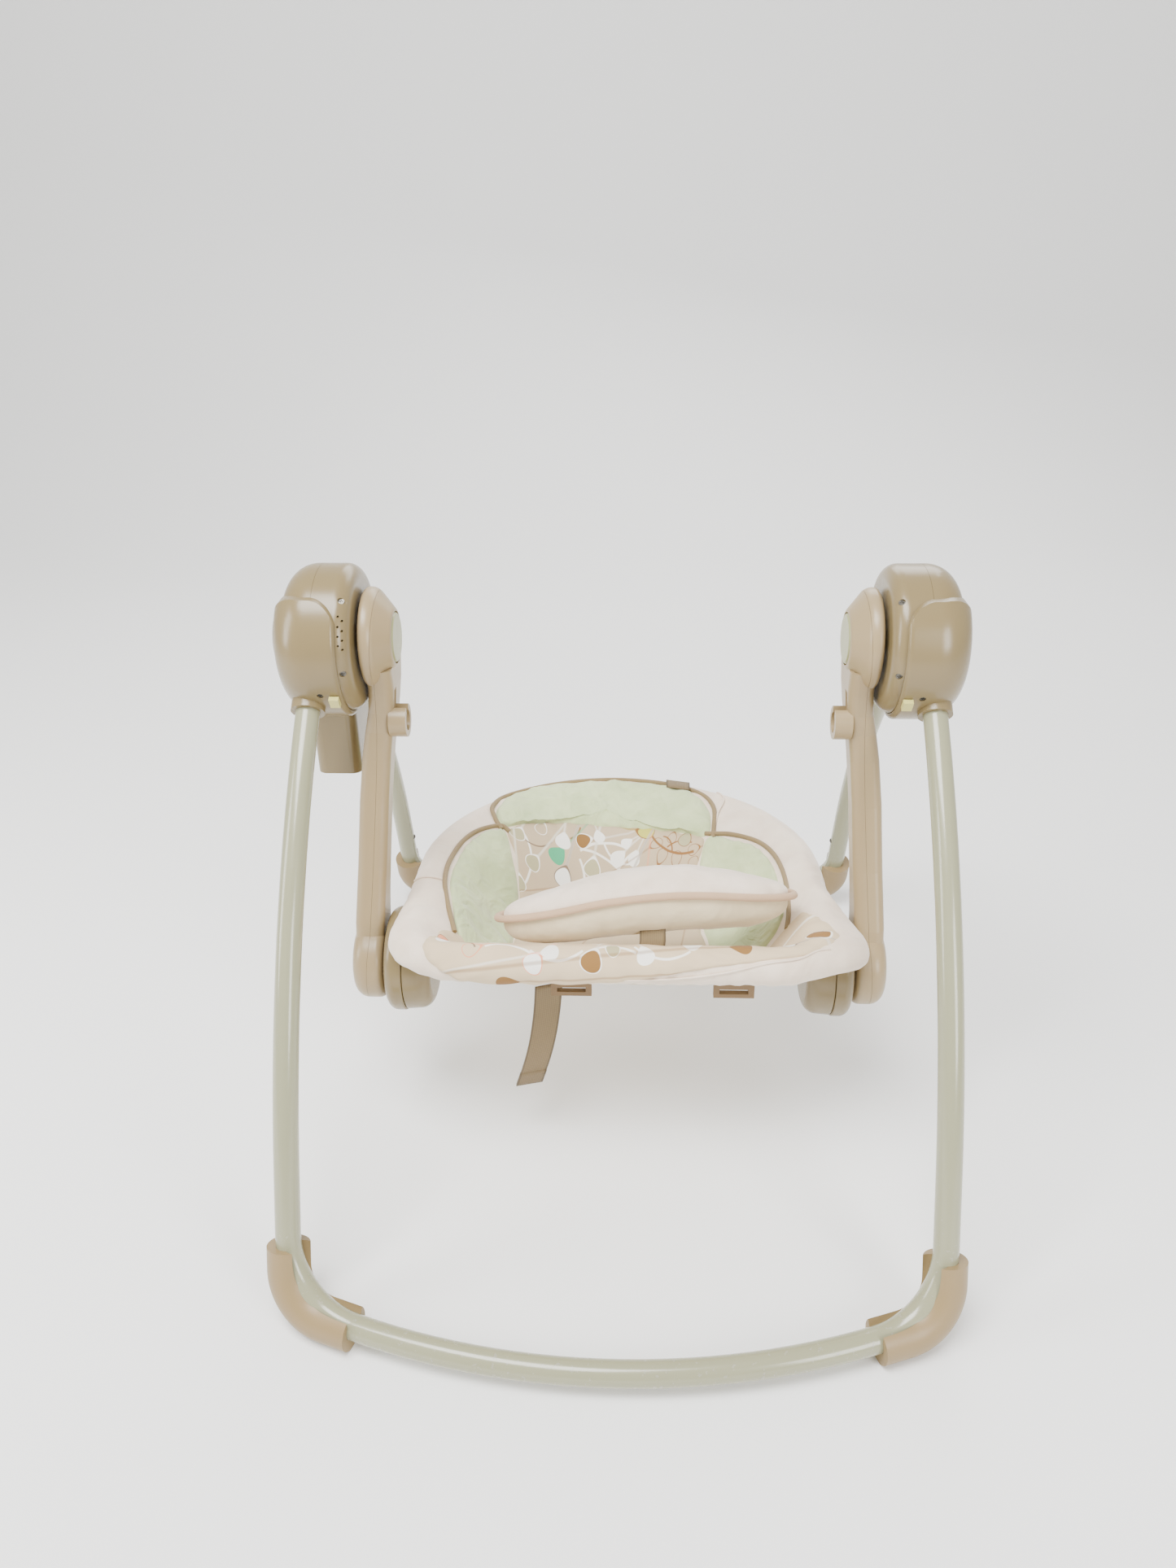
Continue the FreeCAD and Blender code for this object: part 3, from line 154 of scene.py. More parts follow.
class Recipe:
    """The nodes of one material."""

    def __init__(self, name, **sockets):
        self.material = bpy.data.materials.new(name)
        self.material.use_nodes = True
        self.tree = self.material.node_tree
        self.shader = self.tree.nodes["Principled BSDF"]
        for socket, value in sockets.items():
            self.shader.inputs[socket.replace("_", " ")].default_value = value

    def node(self, kind, settings, *values, pick=0, **named):
        made = self.tree.nodes.new("ShaderNode" + kind)
        for name, value in settings.items():
            setattr(made, name, value)
        pairs = list(enumerate(values)) + [(n.replace("_", " "), v) for n, v in named.items()]
        for key, value in pairs:
            self.feed(made.inputs[key], value)
        return Wire(self, made.outputs[pick])

    def feed(self, socket, value):
        if isinstance(value, Wire):
            self.tree.links.new(value.socket, socket)
        else:
            socket.default_value = value

    def place(self):
        return self.node("TexCoord", {}, pick="Object")

    def grain(self, where, scale, detail=2.0, rough=0.5, twist=0.0, **settings):
        sockets = {"Vector": where, "Scale": scale, "Detail": detail, "Roughness": rough, "Distortion": twist}
        return self.node("TexNoise", settings, **sockets)

    def mix(self, mask, under, over):
        made = self.tree.nodes.new("ShaderNodeMix")
        made.data_type = "RGBA"
        for index, value in ((0, mask), (6, under), (7, over)):
            self.feed(made.inputs[index], value)
        return Wire(self, made.outputs[2])

    def bump(self, height, distance, strength=1.0):
        return self.node("Bump", {}, Strength=strength, Distance=distance, Height=height)

    def done(self, colour=None, rough=None, normal=None, metallic=None):
        given = {"Base Color": colour, "Roughness": rough, "Normal": normal, "Metallic": metallic}
        for name, value in given.items():
            if value is not None:
                self.feed(self.shader.inputs[name], value)
        return self.material


# ------------------------------------------------------------------ hard materials


def moulded(name, colour, gloss, pitted=0.00004):
    """Injection-moulded plastic: a fine skin, faint flow marks, a little handling dirt."""
    r = Recipe(name, Specular_IOR_Level=0.5, Coat_Roughness=0.2)
    at = r.place()
    flow = r.grain(at, 9, 3)
    skin = r.grain(at, 1500, 1)
    dirt = r.grain(at, 34, 5, 0.62)
    darker = tuple(c * 0.93 for c in colour[:3]) + (1,)
    warm = (colour[0] * 0.97, colour[1] * 0.93, colour[2] * 0.86, 1)
    body = r.mix(flow, darker, colour)
    body = r.mix((dirt - 0.6).step(0.16) * 0.35, body, warm)
    rough = dirt * 0.12 + (gloss - 0.06)
    return r.done(body, rough, r.bump(skin + flow * 3, pitted, 0.6))


def enamel(name, colour):
    """Baked enamel on a steel tube, with faint ripple and rubbed spots near the floor."""
    r = Recipe(name, Coat_Weight=0.35, Coat_Roughness=0.12)
    at = r.place()
    ripple = r.grain(at, 60, 2)
    spots = r.grain(at, 210, 3, 0.6)
    height = at.split()[2]
    low = 1 - (height - 0.06).step(0.12)
    scuff = (spots - 0.64).step(0.05) * (low * 0.6 + 0.12)
    body = r.mix(ripple, tuple(c * 0.96 for c in colour[:3]) + (1,), colour)
    body = r.mix(scuff, body, tint(150, 146, 132))
    return r.done(body, ripple * 0.1 + scuff * 0.2 + 0.17, r.bump(ripple, 0.00006, 0.4))


def plated(name, colour, gloss):
    """Turned and plated metal with fine lines."""
    r = Recipe(name)
    at = r.place()
    lines = r.grain(r.node("Mapping", {}, at, Scale=(1, 14, 14)), 260, 2)
    body = r.mix(lines, tuple(c * 0.85 for c in colour[:3]) + (1,), colour)
    return r.done(body, lines * 0.14 + gloss, r.bump(lines, 0.00002, 0.5), 1.0)


def laminate(name):
    """A green board with lighter tracks."""
    r = Recipe(name)
    tracks = r.node("TexBrick", {}, Vector=r.place(), Scale=260.0, pick=1)
    return r.done(r.mix(tracks, tint(34, 88, 52), tint(60, 124, 76)), tracks * 0.1 + 0.35)


def jacket(name):
    """A dry cell's plain printed jacket with a lighter top."""
    r = Recipe(name)
    up = r.place().split()[2]
    band = (up - 0.362).step(0.0006)
    speck = r.grain(r.place(), 900)
    return r.done(r.mix(band, tint(52, 56, 66), tint(176, 142, 88)), speck * 0.08 + 0.28, None, band * 0.6)


HOUSING = moulded("tan_plastic", tint(124, 108, 74), 0.25)
ARM = moulded("sand_plastic", tint(154, 134, 99), 0.33)
FOOT = moulded("beige_plastic", tint(142, 120, 82), 0.42, 0.00008)
CAP = moulded("pale_green_plastic", tint(150, 150, 104), 0.3)
BUTTON = moulded("pale_yellow_plastic", tint(196, 188, 112), 0.3)
ACETAL = moulded("acetal", tint(236, 234, 226), 0.4)
BLACK = moulded("speaker_plastic", tint(40, 40, 42), 0.5)
GUIDE = moulded("guide_plastic", tint(112, 86, 52), 0.42)
ENAMEL = enamel("leg_enamel", tint(146, 145, 116))
STEEL = plated("zinc_plate", (0.16, 0.15, 0.13, 1), 0.34)
BRASS = plated("brass", (0.72, 0.55, 0.25, 1), 0.25)
BOARD = laminate("board")
JACKET = jacket("cell_jacket")

FINISHES = {
    "leg_paint": ENAMEL,
    "foot_plastic": FOOT,
    "housing_plastic": HOUSING,
    "arm_plastic": ARM,
    "cap_plastic": CAP,
    "button_plastic": BUTTON,
    "steel": STEEL,
    "bearing_plastic": ACETAL,
    "brass": BRASS,
    "board": BOARD,
    "speaker_black": BLACK,
    "cell_jacket": JACKET,
    "webbing_plastic": GUIDE,
}
for part in frame["record"]["subparts"]:
    finish = FINISHES.get(part["material_slot"])
    if finish:
        slots = nodes[part["node"]].data.materials
        slots.clear()
        slots.append(finish)

# ------------------------------------------------------------------ cloth materials


def velour(name, colour, shade, crush, depth):
    """Short plush pile: soft crush marks, brushed patches and a fine fuzzy grain."""
    r = Recipe(name, Sheen_Weight=0.35, Sheen_Roughness=0.5, Specular_IOR_Level=0.2)
    at = r.place()
    brushed = r.grain(at, 26, 4, 0.62)
    crushed = r.grain(at, crush, 4, 0.55, noise_type="RIDGED_MULTIFRACTAL")
    soft = r.grain(at, crush * 0.6, 2, 0.5, 1.2)
    fuzz = r.grain(at, 2400, 2, 0.7)
    patch = (brushed - 0.5).step(0.3) * 0.5 + (soft - 0.5).step(0.4) * 0.4 + fuzz * 0.1
    height = soft + crushed * 0.12 + fuzz * 0.02
    return r.done(r.mix(patch, shade, colour), fuzz * 0.1 + 0.86, r.bump(height, depth, 0.8))


def weave_of(r, at, pitch):
    """Height of a plain weave on a surface's own coordinates."""
    x, y, _ = at.split()
    over = (x * (math.pi / pitch)).math("SINE").math("ABSOLUTE")
    under = (y * (math.pi / pitch)).math("SINE").math("ABSOLUTE")
    return over.math("MAXIMUM", under)


VELOUR = velour("cream_velour", tint(240, 224, 206), tint(218, 199, 178), 34, 0.004)
MINT = velour("mint_velour", tint(206, 216, 168), tint(178, 192, 142), 62, 0.005)
SATIN = velour("cream_satin", tint(214, 198, 164), tint(196, 178, 142), 40, 0.003)


def cord_cloth(name, colour, shade):
    """Bias-cut piping, twilled across its length."""
    r = Recipe(name, Sheen_Weight=0.15)
    at = r.place()
    lines = {"Vector": at, "Scale": 700.0, "Distortion": 0.6, "Detail": 1.0}
    twill = r.node("TexWave", {"bands_direction": "DIAGONAL"}, **lines)
    worn = r.grain(at, 70, 3)
    body = r.mix(twill * 0.6 + worn * 0.4, shade, colour)
    return r.done(body, worn * 0.1 + 0.72, r.bump(twill, 0.0002, 0.6))


PIPING = cord_cloth("taupe_piping", tint(150, 128, 88), tint(118, 98, 64))
PALE_PIPING = cord_cloth("beige_piping", tint(206, 172, 138), tint(176, 144, 112))


def webbing(name, colour, shade):
    """Flat woven tape: ribs along its length and a fine cross weave."""
    r = Recipe(name, Sheen_Weight=0.1)
    uv = r.node("UVMap", {"uv_map": "UVMap"})
    across, along, _ = uv.split()
    rib = (across * (math.pi * 14)).math("SINE").math("ABSOLUTE")
    pick = (along * (math.pi * 70)).math("SINE").math("ABSOLUTE")
    cloth = rib * 0.6 + pick * 0.4
    edge = (0.5 - (across - 0.5).math("ABSOLUTE") - 0.07).step(0.02)
    body = r.mix(cloth, shade, colour)
    body = r.mix(edge, shade, body)
    return r.done(body, cloth * 0.1 + 0.7, r.bump(cloth, 0.0003, 0.7))


TAPE = webbing("tan_webbing", tint(126, 106, 72), tint(94, 78, 52))

LEAF_BROWN, LEAF_TEAL, LEAF_PINK = tint(134, 96, 44), tint(70, 168, 120), tint(232, 150, 110)
LEAF_WHITE, LEAF_YELLOW, LEAF_GREY = tint(246, 242, 232), tint(196, 190, 84), tint(176, 168, 130)
LINE_BROWN, LINE_WHITE, LINE_GREY = tint(140, 96, 48), tint(246, 240, 228), tint(128, 106, 82)


def printed(name, base, shade, leaves, stems):
    """Printed cotton: leaves and stems laid out in metres on the seat's own plan."""
    r = Recipe(name, Sheen_Weight=0.1)
    plan = r.node("Attribute", {"attribute_name": "plan"}, pick="Vector")
    cloud = r.grain(r.place(), 22, 3)
    body = r.mix(cloud, shade, base)
    for x, y, radius, start, sweep, width, colour in stems:
        half = math.radians(sweep / 2)
        turned = (0, 0, math.radians(start) + half)
        at = (x * MM, y * MM, 0)
        u, v, _ = r.node("Mapping", {"vector_type": "TEXTURE"}, plan, at, turned).split()
        away = ((u * u + v * v).math("SQRT") - radius * MM).math("ABSOLUTE")
        line = (width * MM / 2 - away).step(0.0005)
        within = (u * math.tan(half) - v.math("ABSOLUTE")).step(0.001)
        body = r.mix(line * within, body, colour)
    for x, y, long, wide, angle, colour, outline in leaves:
        turned, spread = (0, 0, math.radians(angle)), (long * MM, wide * MM, 1)
        at = (x * MM, y * MM, 0)
        u, v, _ = r.node("Mapping", {"vector_type": "TEXTURE"}, plan, at, turned, spread).split()
        taper = (1 - u).math("MAXIMUM", 0.0)
        shape = u * taper * taper * 1.6875 - v * v
        if colour is not None:
            body = r.mix(shape.step(0.02), body, colour)
        if outline is not None:
            body = r.mix(shape.step(0.02) - (shape - 0.05).step(0.02), body, outline)
    weave = weave_of(r, plan, 0.0006)
    return r.done(body, cloud * 0.06 + 0.8, r.bump(weave, 0.00015, 0.6))


# In millimetres and degrees on the seat's plan. A leaf: x, y, length, width, direction, fill, outline.
# A stem is part of a ring: its centre x, y, radius, start, sweep, width, colour.
CENTRE_LEAVES = [
    (-108, 166, 18, 17, 70, LEAF_GREY, LINE_WHITE),
    (-84, 182, 18, 13, 78, None, LINE_WHITE),
    (-46, 186, 19, 15, 14, LEAF_BROWN, LINE_WHITE),
    (-70, 161, 20, 17, 52, LEAF_TEAL, None),
    (-60, 176, 17, 16, 85, LEAF_WHITE, None),
    (-60, 140, 23, 18, 76, LEAF_WHITE, LINE_GREY),
    (-30, 156, 21, 18, 80, LEAF_GREY, LINE_WHITE),
    (-92, 144, 18, 15, 60, LEAF_GREY, LINE_WHITE),
    (-100, 120, 18, 15, 100, LEAF_GREY, LINE_WHITE),
    (-8, 170, 18, 14, 40, LEAF_WHITE, None),
    (-20, 188, 14, 12, 110, LEAF_WHITE, None),
    (2, 186, 13, 11, 30, LEAF_WHITE, None),
    (8, 152, 19, 16, -15, LEAF_GREY, LINE_WHITE),
    (12, 168, 15, 12, 62, LEAF_WHITE, None),
    (36, 197, 22, 17, 164, LEAF_YELLOW, LINE_BROWN),
    (44, 188, 16, 11, 205, None, LINE_BROWN),
    (47, 178, 16, 11, 238, None, LINE_BROWN),
    (52, 182, 14, 10, 66, None, LINE_BROWN),
    (60, 173, 16, 11, 255, None, LINE_BROWN),
    (64, 176, 18, 14, 62, LEAF_GREY, LINE_BROWN),
    (70, 169, 14, 10, 10, None, LINE_BROWN),
    (76, 164, 15, 11, 262, None, LINE_BROWN),
    (26, 148, 19, 14, 82, LEAF_PINK, None),
    (-12, 120, 22, 18, 60, LEAF_WHITE, LINE_GREY),
]
CENTRE_STEMS = [
    (76, 216, 48, 196, 74, 2.2, LINE_BROWN),
    (60, 160, 22, 50, 70, 1.5, LINE_BROWN),
    (36, 176, 18, -10, 70, 1.5, LINE_BROWN),
    (-62, 204, 20, -60, 55, 1.8, LINE_BROWN),
    (-40, 210, 24, -90, 60, 1.5, LINE_BROWN),
    (-12, 138, 50, 66, 60, 2.4, LINE_WHITE),
    (-78, 150, 42, -40, 70, 2.2, LINE_WHITE),
    (34, 140, 44, 112, 64, 2.2, LINE_WHITE),
    (-40, 120, 60, 20, 70, 2.0, LINE_WHITE),
    (-130, 150, 40, -30, 70, 2.0, LINE_WHITE),
    (8, 196, 26, 200, 80, 1.8, LINE_WHITE),
    (-90, 190, 22, 250, 80, 1.4, LINE_GREY),
]
BAND_LEAVES = [
    (-156, -36, 18, 16, 8, LEAF_PINK, LINE_BROWN),
    (-150, -62, 16, 13, 60, LEAF_WHITE, None),
    (-128, -78, 19, 14, 24, None, LEAF_PINK),
    (-104, -66, 15, 12, 70, LEAF_WHITE, None),
    (-100, -103, 21, 13, 4, LEAF_BROWN, None),
    (-74, -92, 19, 18, 48, LEAF_WHITE, LEAF_PINK),
    (-48, -76, 16, 13, 190, LEAF_WHITE, None),
    (-24, -92, 21, 19, 68, LEAF_BROWN, LINE_WHITE),
    (2, -78, 15, 12, 150, LEAF_GREY, LINE_WHITE),
    (26, -86, 17, 15, 110, LEAF_WHITE, None),
    (56, -70, 18, 16, 28, LEAF_WHITE, LINE_WHITE),
    (112, -67, 20, 19, 186, LEAF_BROWN, None),
    (136, -62, 17, 14, 20, LEAF_WHITE, LINE_GREY),
    (165, -36, 18, 15, 290, LEAF_BROWN, LINE_WHITE),
    (84, -50, 15, 11, 60, None, LINE_BROWN),
    (-134, -24, 16, 12, 40, None, LINE_BROWN),
]
BAND_STEMS = [
    (-146, -84, 30, 20, 80, 1.5, LINE_GREY),
    (-120, -40, 26, 190, 80, 1.6, LINE_BROWN),
    (-96, -110, 40, 40, 70, 2.0, LINE_WHITE),
    (-50, -50, 34, 230, 80, 2.0, LINE_WHITE),
    (-4, -112, 40, 60, 70, 2.0, LINE_WHITE),
    (40, -46, 36, 225, 80, 1.8, LINE_WHITE),
    (86, -76, 26, 60, 80, 1.6, LINE_BROWN),
    (98, -34, 24, 230, 70, 1.5, LINE_BROWN),
    (130, -94, 36, 60, 70, 1.8, LINE_WHITE),
    (156, -30, 24, 200, 80, 1.5, LINE_BROWN),
]
CENTRE_PRINT = printed("printed_panel", tint(200, 178, 144), tint(186, 166, 138), CENTRE_LEAVES, CENTRE_STEMS)
BAND_PRINT = printed("printed_band", tint(216, 196, 162), tint(204, 180, 146), BAND_LEAVES, BAND_STEMS)

# ------------------------------------------------------------------ the seat's own frame

SEAT_AT = Vector((0, -0.053, 0.215))
SEAT_TILT = math.radians(-5)
SEAT_FRAME = Matrix.Translation(SEAT_AT) @ Matrix.Rotation(SEAT_TILT, 4, "X")
HALF_WIDE, FRONT, BACK_CENTRE, CORNER = 0.178, 0.071, 0.096, 0.045
ROLL = 0.0155


def inset_of(x, y):
    """How far a point lies inside the seat ring's centre line; negative outside."""
    if y > BACK_CENTRE:
        return HALF_WIDE - math.hypot(x, y - BACK_CENTRE)
    side_x, side_y = abs(x) - (HALF_WIDE - CORNER), -FRONT + CORNER - y
    if side_x > 0 and side_y > 0:
        return CORNER - math.hypot(side_x, side_y)
    return min(HALF_WIDE - abs(x), y + FRONT)


def smooth(t):
    t = min(max(t, 0.0), 1.0)
    return t * t * (3 - 2 * t)


def bowl(x, y):
    """Height of the seat's upper surface over the ring's plane."""
    inset = inset_of(x, y)
    if inset < 0:
        return math.sqrt(max(ROLL**2 - inset**2, 0))
    back = smooth((y - 0.06) / 0.16)
    reach = 0.085 + 0.085 * back
    depth = 0.074 - 0.010 * back
    sink = inset / reach
    return ROLL - depth * smooth(sink * 0.96 + 0.04) + depth * smooth(0.04)


def rim(x, y):
    """The nearest point of the ring's centre line, and the way out from it."""
    if y > BACK_CENTRE:
        out = Vector((x, y - BACK_CENTRE)).normalized()
        return Vector((0, BACK_CENTRE)) + out * HALF_WIDE, out
    side = math.copysign(1, x)
    corner = Vector((side * (HALF_WIDE - CORNER), CORNER - FRONT))
    if abs(x) > HALF_WIDE - CORNER and y < CORNER - FRONT:
        out = (Vector((x, y)) - corner).normalized()
        return corner + out * CORNER, out
    if HALF_WIDE - abs(x) < y + FRONT:
        return Vector((side * HALF_WIDE, y)), Vector((side, 0))
    return Vector((x, -FRONT)), Vector((0, -1))


def skin(x, y, lift=0.0):
    """A point this far over the cover; past the centre line the plan rolls round the tube."""
    inset = inset_of(x, y)
    if inset >= 0:
        return Vector((x, y, bowl(x, y) + lift))
    near, out = rim(x, y)
    turn = -inset / ROLL
    flat = near + out * ((ROLL + lift) * math.sin(turn))
    return Vector((flat.x, flat.y, (ROLL + lift) * math.cos(turn)))


def slack(point):
    """The cover's front corners hang out past the tube, the right one more."""
    share = smooth((abs(point.x) - 0.163) / 0.03) * smooth((0.06 - point.y) / 0.12)
    side = (0.026 if point.x > 0 else 0.007) * share
    return Vector((point.x + math.copysign(side, point.x), point.y, point.z - side * 0.2))


def wrinkle(x, y, size, seed):
    return noise.fractal(Vector((x / size, y / size, seed)), 1.0, 2.0, 3)


def lay(bm, plan, name, body, material, level=0):
    """Turn a bmesh in the seat's frame into a piece that rides on a body; plan is kept for prints."""
    for vert in bm.verts:
        vert.co = slack(vert.co)
    bmesh.ops.recalc_face_normals(bm, faces=bm.faces)
    mesh = bpy.data.meshes.new(name)
    bm.verts.index_update()
    bm.to_mesh(mesh)
    bm.free()
    if plan:
        kept = mesh.attributes.new("plan", "FLOAT_VECTOR", "POINT")
        for index, point in enumerate(plan):
            kept.data[index].vector = point
    mesh.transform(SEAT_FRAME)
    return piece_of(mesh, name, body, material, level)


def piece_of(mesh, name, body, material, level=0):
    made = bpy.data.objects.new(name, mesh)
    scene.collection.objects.link(made)
    mesh.materials.append(material)
    mesh.shade_smooth()
    if level:
        rounded = made.modifiers.new("rounded", "SUBSURF")
        rounded.levels = rounded.render_levels = level
    if body:
        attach(made, body)
    return made


def ring_outline(count):
    """Points evenly spaced round the seat ring's centre line, with their outward normals."""
    half = HALF_WIDE - CORNER
    runs = [
        ("line", (-half, -FRONT), (half, -FRONT)),
        ("arc", (half, -FRONT + CORNER), CORNER, -90, 0),
        ("line", (HALF_WIDE, -FRONT + CORNER), (HALF_WIDE, BACK_CENTRE)),
        ("arc", (0, BACK_CENTRE), HALF_WIDE, 0, 180),
        ("line", (-HALF_WIDE, BACK_CENTRE), (-HALF_WIDE, -FRONT + CORNER)),
        ("arc", (-half, -FRONT + CORNER), CORNER, 180, 270),
    ]
    lengths = []
    for run in runs:
        if run[0] == "line":
            lengths.append((Vector(run[2]) - Vector(run[1])).length)
        else:
            lengths.append(run[2] * math.radians(run[4] - run[3]))
    total = sum(lengths)
    made = []
    for i in range(count):
        along = total * i / count
        for run, length in zip(runs, lengths):
            if along <= length:
                break
            along -= length
        if run[0] == "line":
            start, end = Vector(run[1]), Vector(run[2])
            way = (end - start).normalized()
            made.append((start + way * along, Vector((way.y, -way.x))))
        else:
            angle = math.radians(run[3]) + along / run[2]
            out = Vector((math.cos(angle), math.sin(angle)))
            made.append((Vector(run[1]) + out * run[2], out))
    return made


# ------------------------------------------------------------------ outlines of the seat's panels


def curve_span(corners, steps):
    """The points of a smooth curve from the second to the third of four corners, in millimetres."""
    p0, p1, p2, p3 = (Vector(corner) * MM for corner in corners)
    made = []
    for step in range(steps):
        t = step / steps
        straight = 2 * p1 + (p2 - p0) * t
        bent = (2 * p0 - 5 * p1 + 4 * p2 - p3) * t**2
        turned = (3 * p1 - p0 - 3 * p2 + p3) * t**3
        made.append(0.5 * (straight + bent + turned))
    return made


def smooth_loop(points):
    """A closed smooth curve through given points, in metres."""
    made = []
    for i in range(len(points)):
        made += curve_span([points[(i + k - 1) % len(points)] for k in range(4)], LOOP_STEPS)
    return made


def smooth_run(points):
    """An open smooth curve through given points, in metres."""
    before = tuple(2 * a - b for a, b in zip(points[0], points[1]))
    after = tuple(2 * a - b for a, b in zip(points[-1], points[-2]))
    corners = [before, *points, after]
    made = []
    for i in range(len(points) - 1):
        made += curve_span(corners[i : i + 4], RUN_STEPS)
    made.append(Vector(points[-1]) * MM)
    return made


LOOP_STEPS, RUN_STEPS = 12, 10

HEAD_PANEL = [
    (-124, 178), (-130, 206), (-112, 238), (-72, 261), (-16, 273), (40, 265), (78, 245), (94, 216),
    (92, 182), (62, 193), (28, 203), (-8, 206), (-54, 204), (-92, 194),
]
LEFT_PANEL = [
    (-120, 174), (-142, 154), (-154, 126), (-160, 90), (-159, 56), (-152, 24), (-142, -6), (-120, -16),
    (-104, 8), (-100, 60), (-100, 114), (-108, 146),
]
RIGHT_PANEL = [
    (90, 180), (112, 168), (134, 148), (146, 124), (152, 96), (153, 60), (150, 20), (132, 0),
    (96, 8), (86, 50), (80, 100), (80, 150),
]
CENTRE_PANEL = [
    (-117, 176), (-92, 196), (-54, 208), (-8, 210), (28, 207), (62, 196), (88, 180), (80, 150),
    (80, 100), (86, 50), (94, -6), (50, -26), (0, -30), (-50, -28), (-100, -16), (-102, 40),
    (-100, 100), (-106, 146),
]
BAND_PANEL = [
    (-160, -46), (-156, -18), (-142, -2), (-124, -6), (-100, -34), (-60, -50), (0, -54), (60, -48),
    (110, -30), (150, -6), (166, 4), (176, -18), (178, -44), (162, -72), (120, -82), (80, -88),
    (40, -96), (0, -104), (-60, -108), (-120, -106), (-150, -92), (-164, -72),
]


PANEL_CORDS = {
    "head_piping": [
        (-122, 172), (-130, 186), (-134, 208), (-116, 241), (-74, 265), (-16, 277), (42, 269), (81, 248),
        (98, 218), (96, 176),
    ],
    "side_piping_left": [
        (-114, 173), (-124, 176), (-145, 157), (-158, 128), (-164, 90), (-163, 56), (-156, 24), (-146, -6),
    ],
    "side_piping_right": [
        (88, 184), (114, 172), (137, 151), (150, 126), (156, 96), (157, 60), (154, 20), (150, -2),
    ],
}
COVER_SEAMS = {
    "cover_seam_left": [(-192, 52), (-178, 50), (-166, 56)],
    "cover_seam_right": [(104, 252), (110, 230), (102, 206), (97, 180)],
    "cover_seam_front": [(2, -100), (44, -98), (86, -92), (121, -84), (150, -78), (172, -62)],
}


def panel(name, outline, material, puff, lift, folds, rings=22):
    """A stitched-down panel: puffed in the middle, tucked at its edge, creased by its seam."""
    edge = smooth_loop(outline)
    count = len(edge)
    middle = sum(edge, Vector((0, 0))) / count
    bm = bmesh.new()
    bmesh.ops.create_grid(bm, x_segments=count, y_segments=rings, size=0.5)
    reach = [(p - middle).length for p in edge]
    for vert in bm.verts:
        turn = (vert.co.x + 0.5) * count
        i = int(round(turn)) % count
        out = vert.co.y + 0.5
        flat = middle + (edge[i] - middle) * out
        border = reach[i] * (1 - out)
        swell = 1 - math.exp(-border / 0.009)
        tuck = smooth(1 - border / 0.003) * 0.003
        crease = math.sin(i * 0.9 + 3 * noise.noise(Vector((i * 0.11, 0, lift)))) * math.exp(-border / 0.014)
        rise = puff * swell + lift - tuck + 0.0011 * crease * min(border / 0.004, 1)
        rise += folds(flat.x, flat.y) * swell * 1.4
        vert.co = Vector((flat.x, flat.y, rise))
    bmesh.ops.remove_doubles(bm, verts=bm.verts, dist=WELD)
    plan = [vert.co.copy() for vert in bm.verts]
    for vert in bm.verts:
        vert.co = skin(*vert.co)
    return lay(bm, plan, name, "seat", material)


def head_folds(x, y):
    cross = noise.fractal(Vector((x / 0.013 + y / 0.05, y / 0.05, 3.1)), 1.0, 2.0, 2)
    return 0.0024 * cross + 0.0012 * wrinkle(x, y, 0.03, 5.0)


def side_folds(x, y):
    cross = noise.fractal(Vector((x / 0.05, y / 0.014 + x / 0.05, 7.7)), 1.0, 2.0, 2)
    return 0.0019 * cross + 0.0014 * wrinkle(x, y, 0.034, 2.0)


def band_folds(x, y):
    return 0.0009 * wrinkle(x, y, 0.03, 8.0)


def centre_folds(x, y):
    return 0.0016 * wrinkle(x, y, 0.04, 9.0)


def round_cord(name, points, radius, facets, closed=False):
    """A round cord's mesh along points in metres; facets rounds each quarter of its section."""
    curve = bpy.data.curves.new(name, "CURVE")
    curve.dimensions = "3D"
    spline = curve.splines.new("POLY")
    spline.points.add(len(points) - 1)
    spline.use_cyclic_u = closed
    for place, point in zip(spline.points, points):
        place.co = (*point, 1)
    curve.bevel_depth = radius
    curve.bevel_resolution = facets
    curve.use_fill_caps = not closed
    made = bpy.data.objects.new(name, curve)
    scene.collection.objects.link(made)
    bpy.context.view_layer.update()
    mesh = bpy.data.meshes.new_from_object(made)
    bpy.data.objects.remove(made)
    mesh.name = name
    mesh.materials.clear()
    return mesh


def cord_along(name, points, radius, lift, material):
    """A round cord laid on the seat along points of its plan."""
    laid = [SEAT_FRAME @ slack(skin(point.x, point.y, lift)) for point in points]
    return piece_of(round_cord(name, laid, radius, 3), name, "seat", material)


# ------------------------------------------------------------------ seat cover

AROUND, INWARD, OVER = 288, 44, 22  # quads round the rim, from the bowl's middle to it, and over it
BOWL_MIDDLE = Vector((0, 0.075))
HEM_TURN = math.radians(250)  # how far the cover wraps round the tube
SLING_RINGS = 26
SLING_GAP, SLING_SAG = 0.0105, 0.006  # under the bowl at the rim, and how much more in the middle
SLING_IN, SLING_TOP = 0.006, -0.006


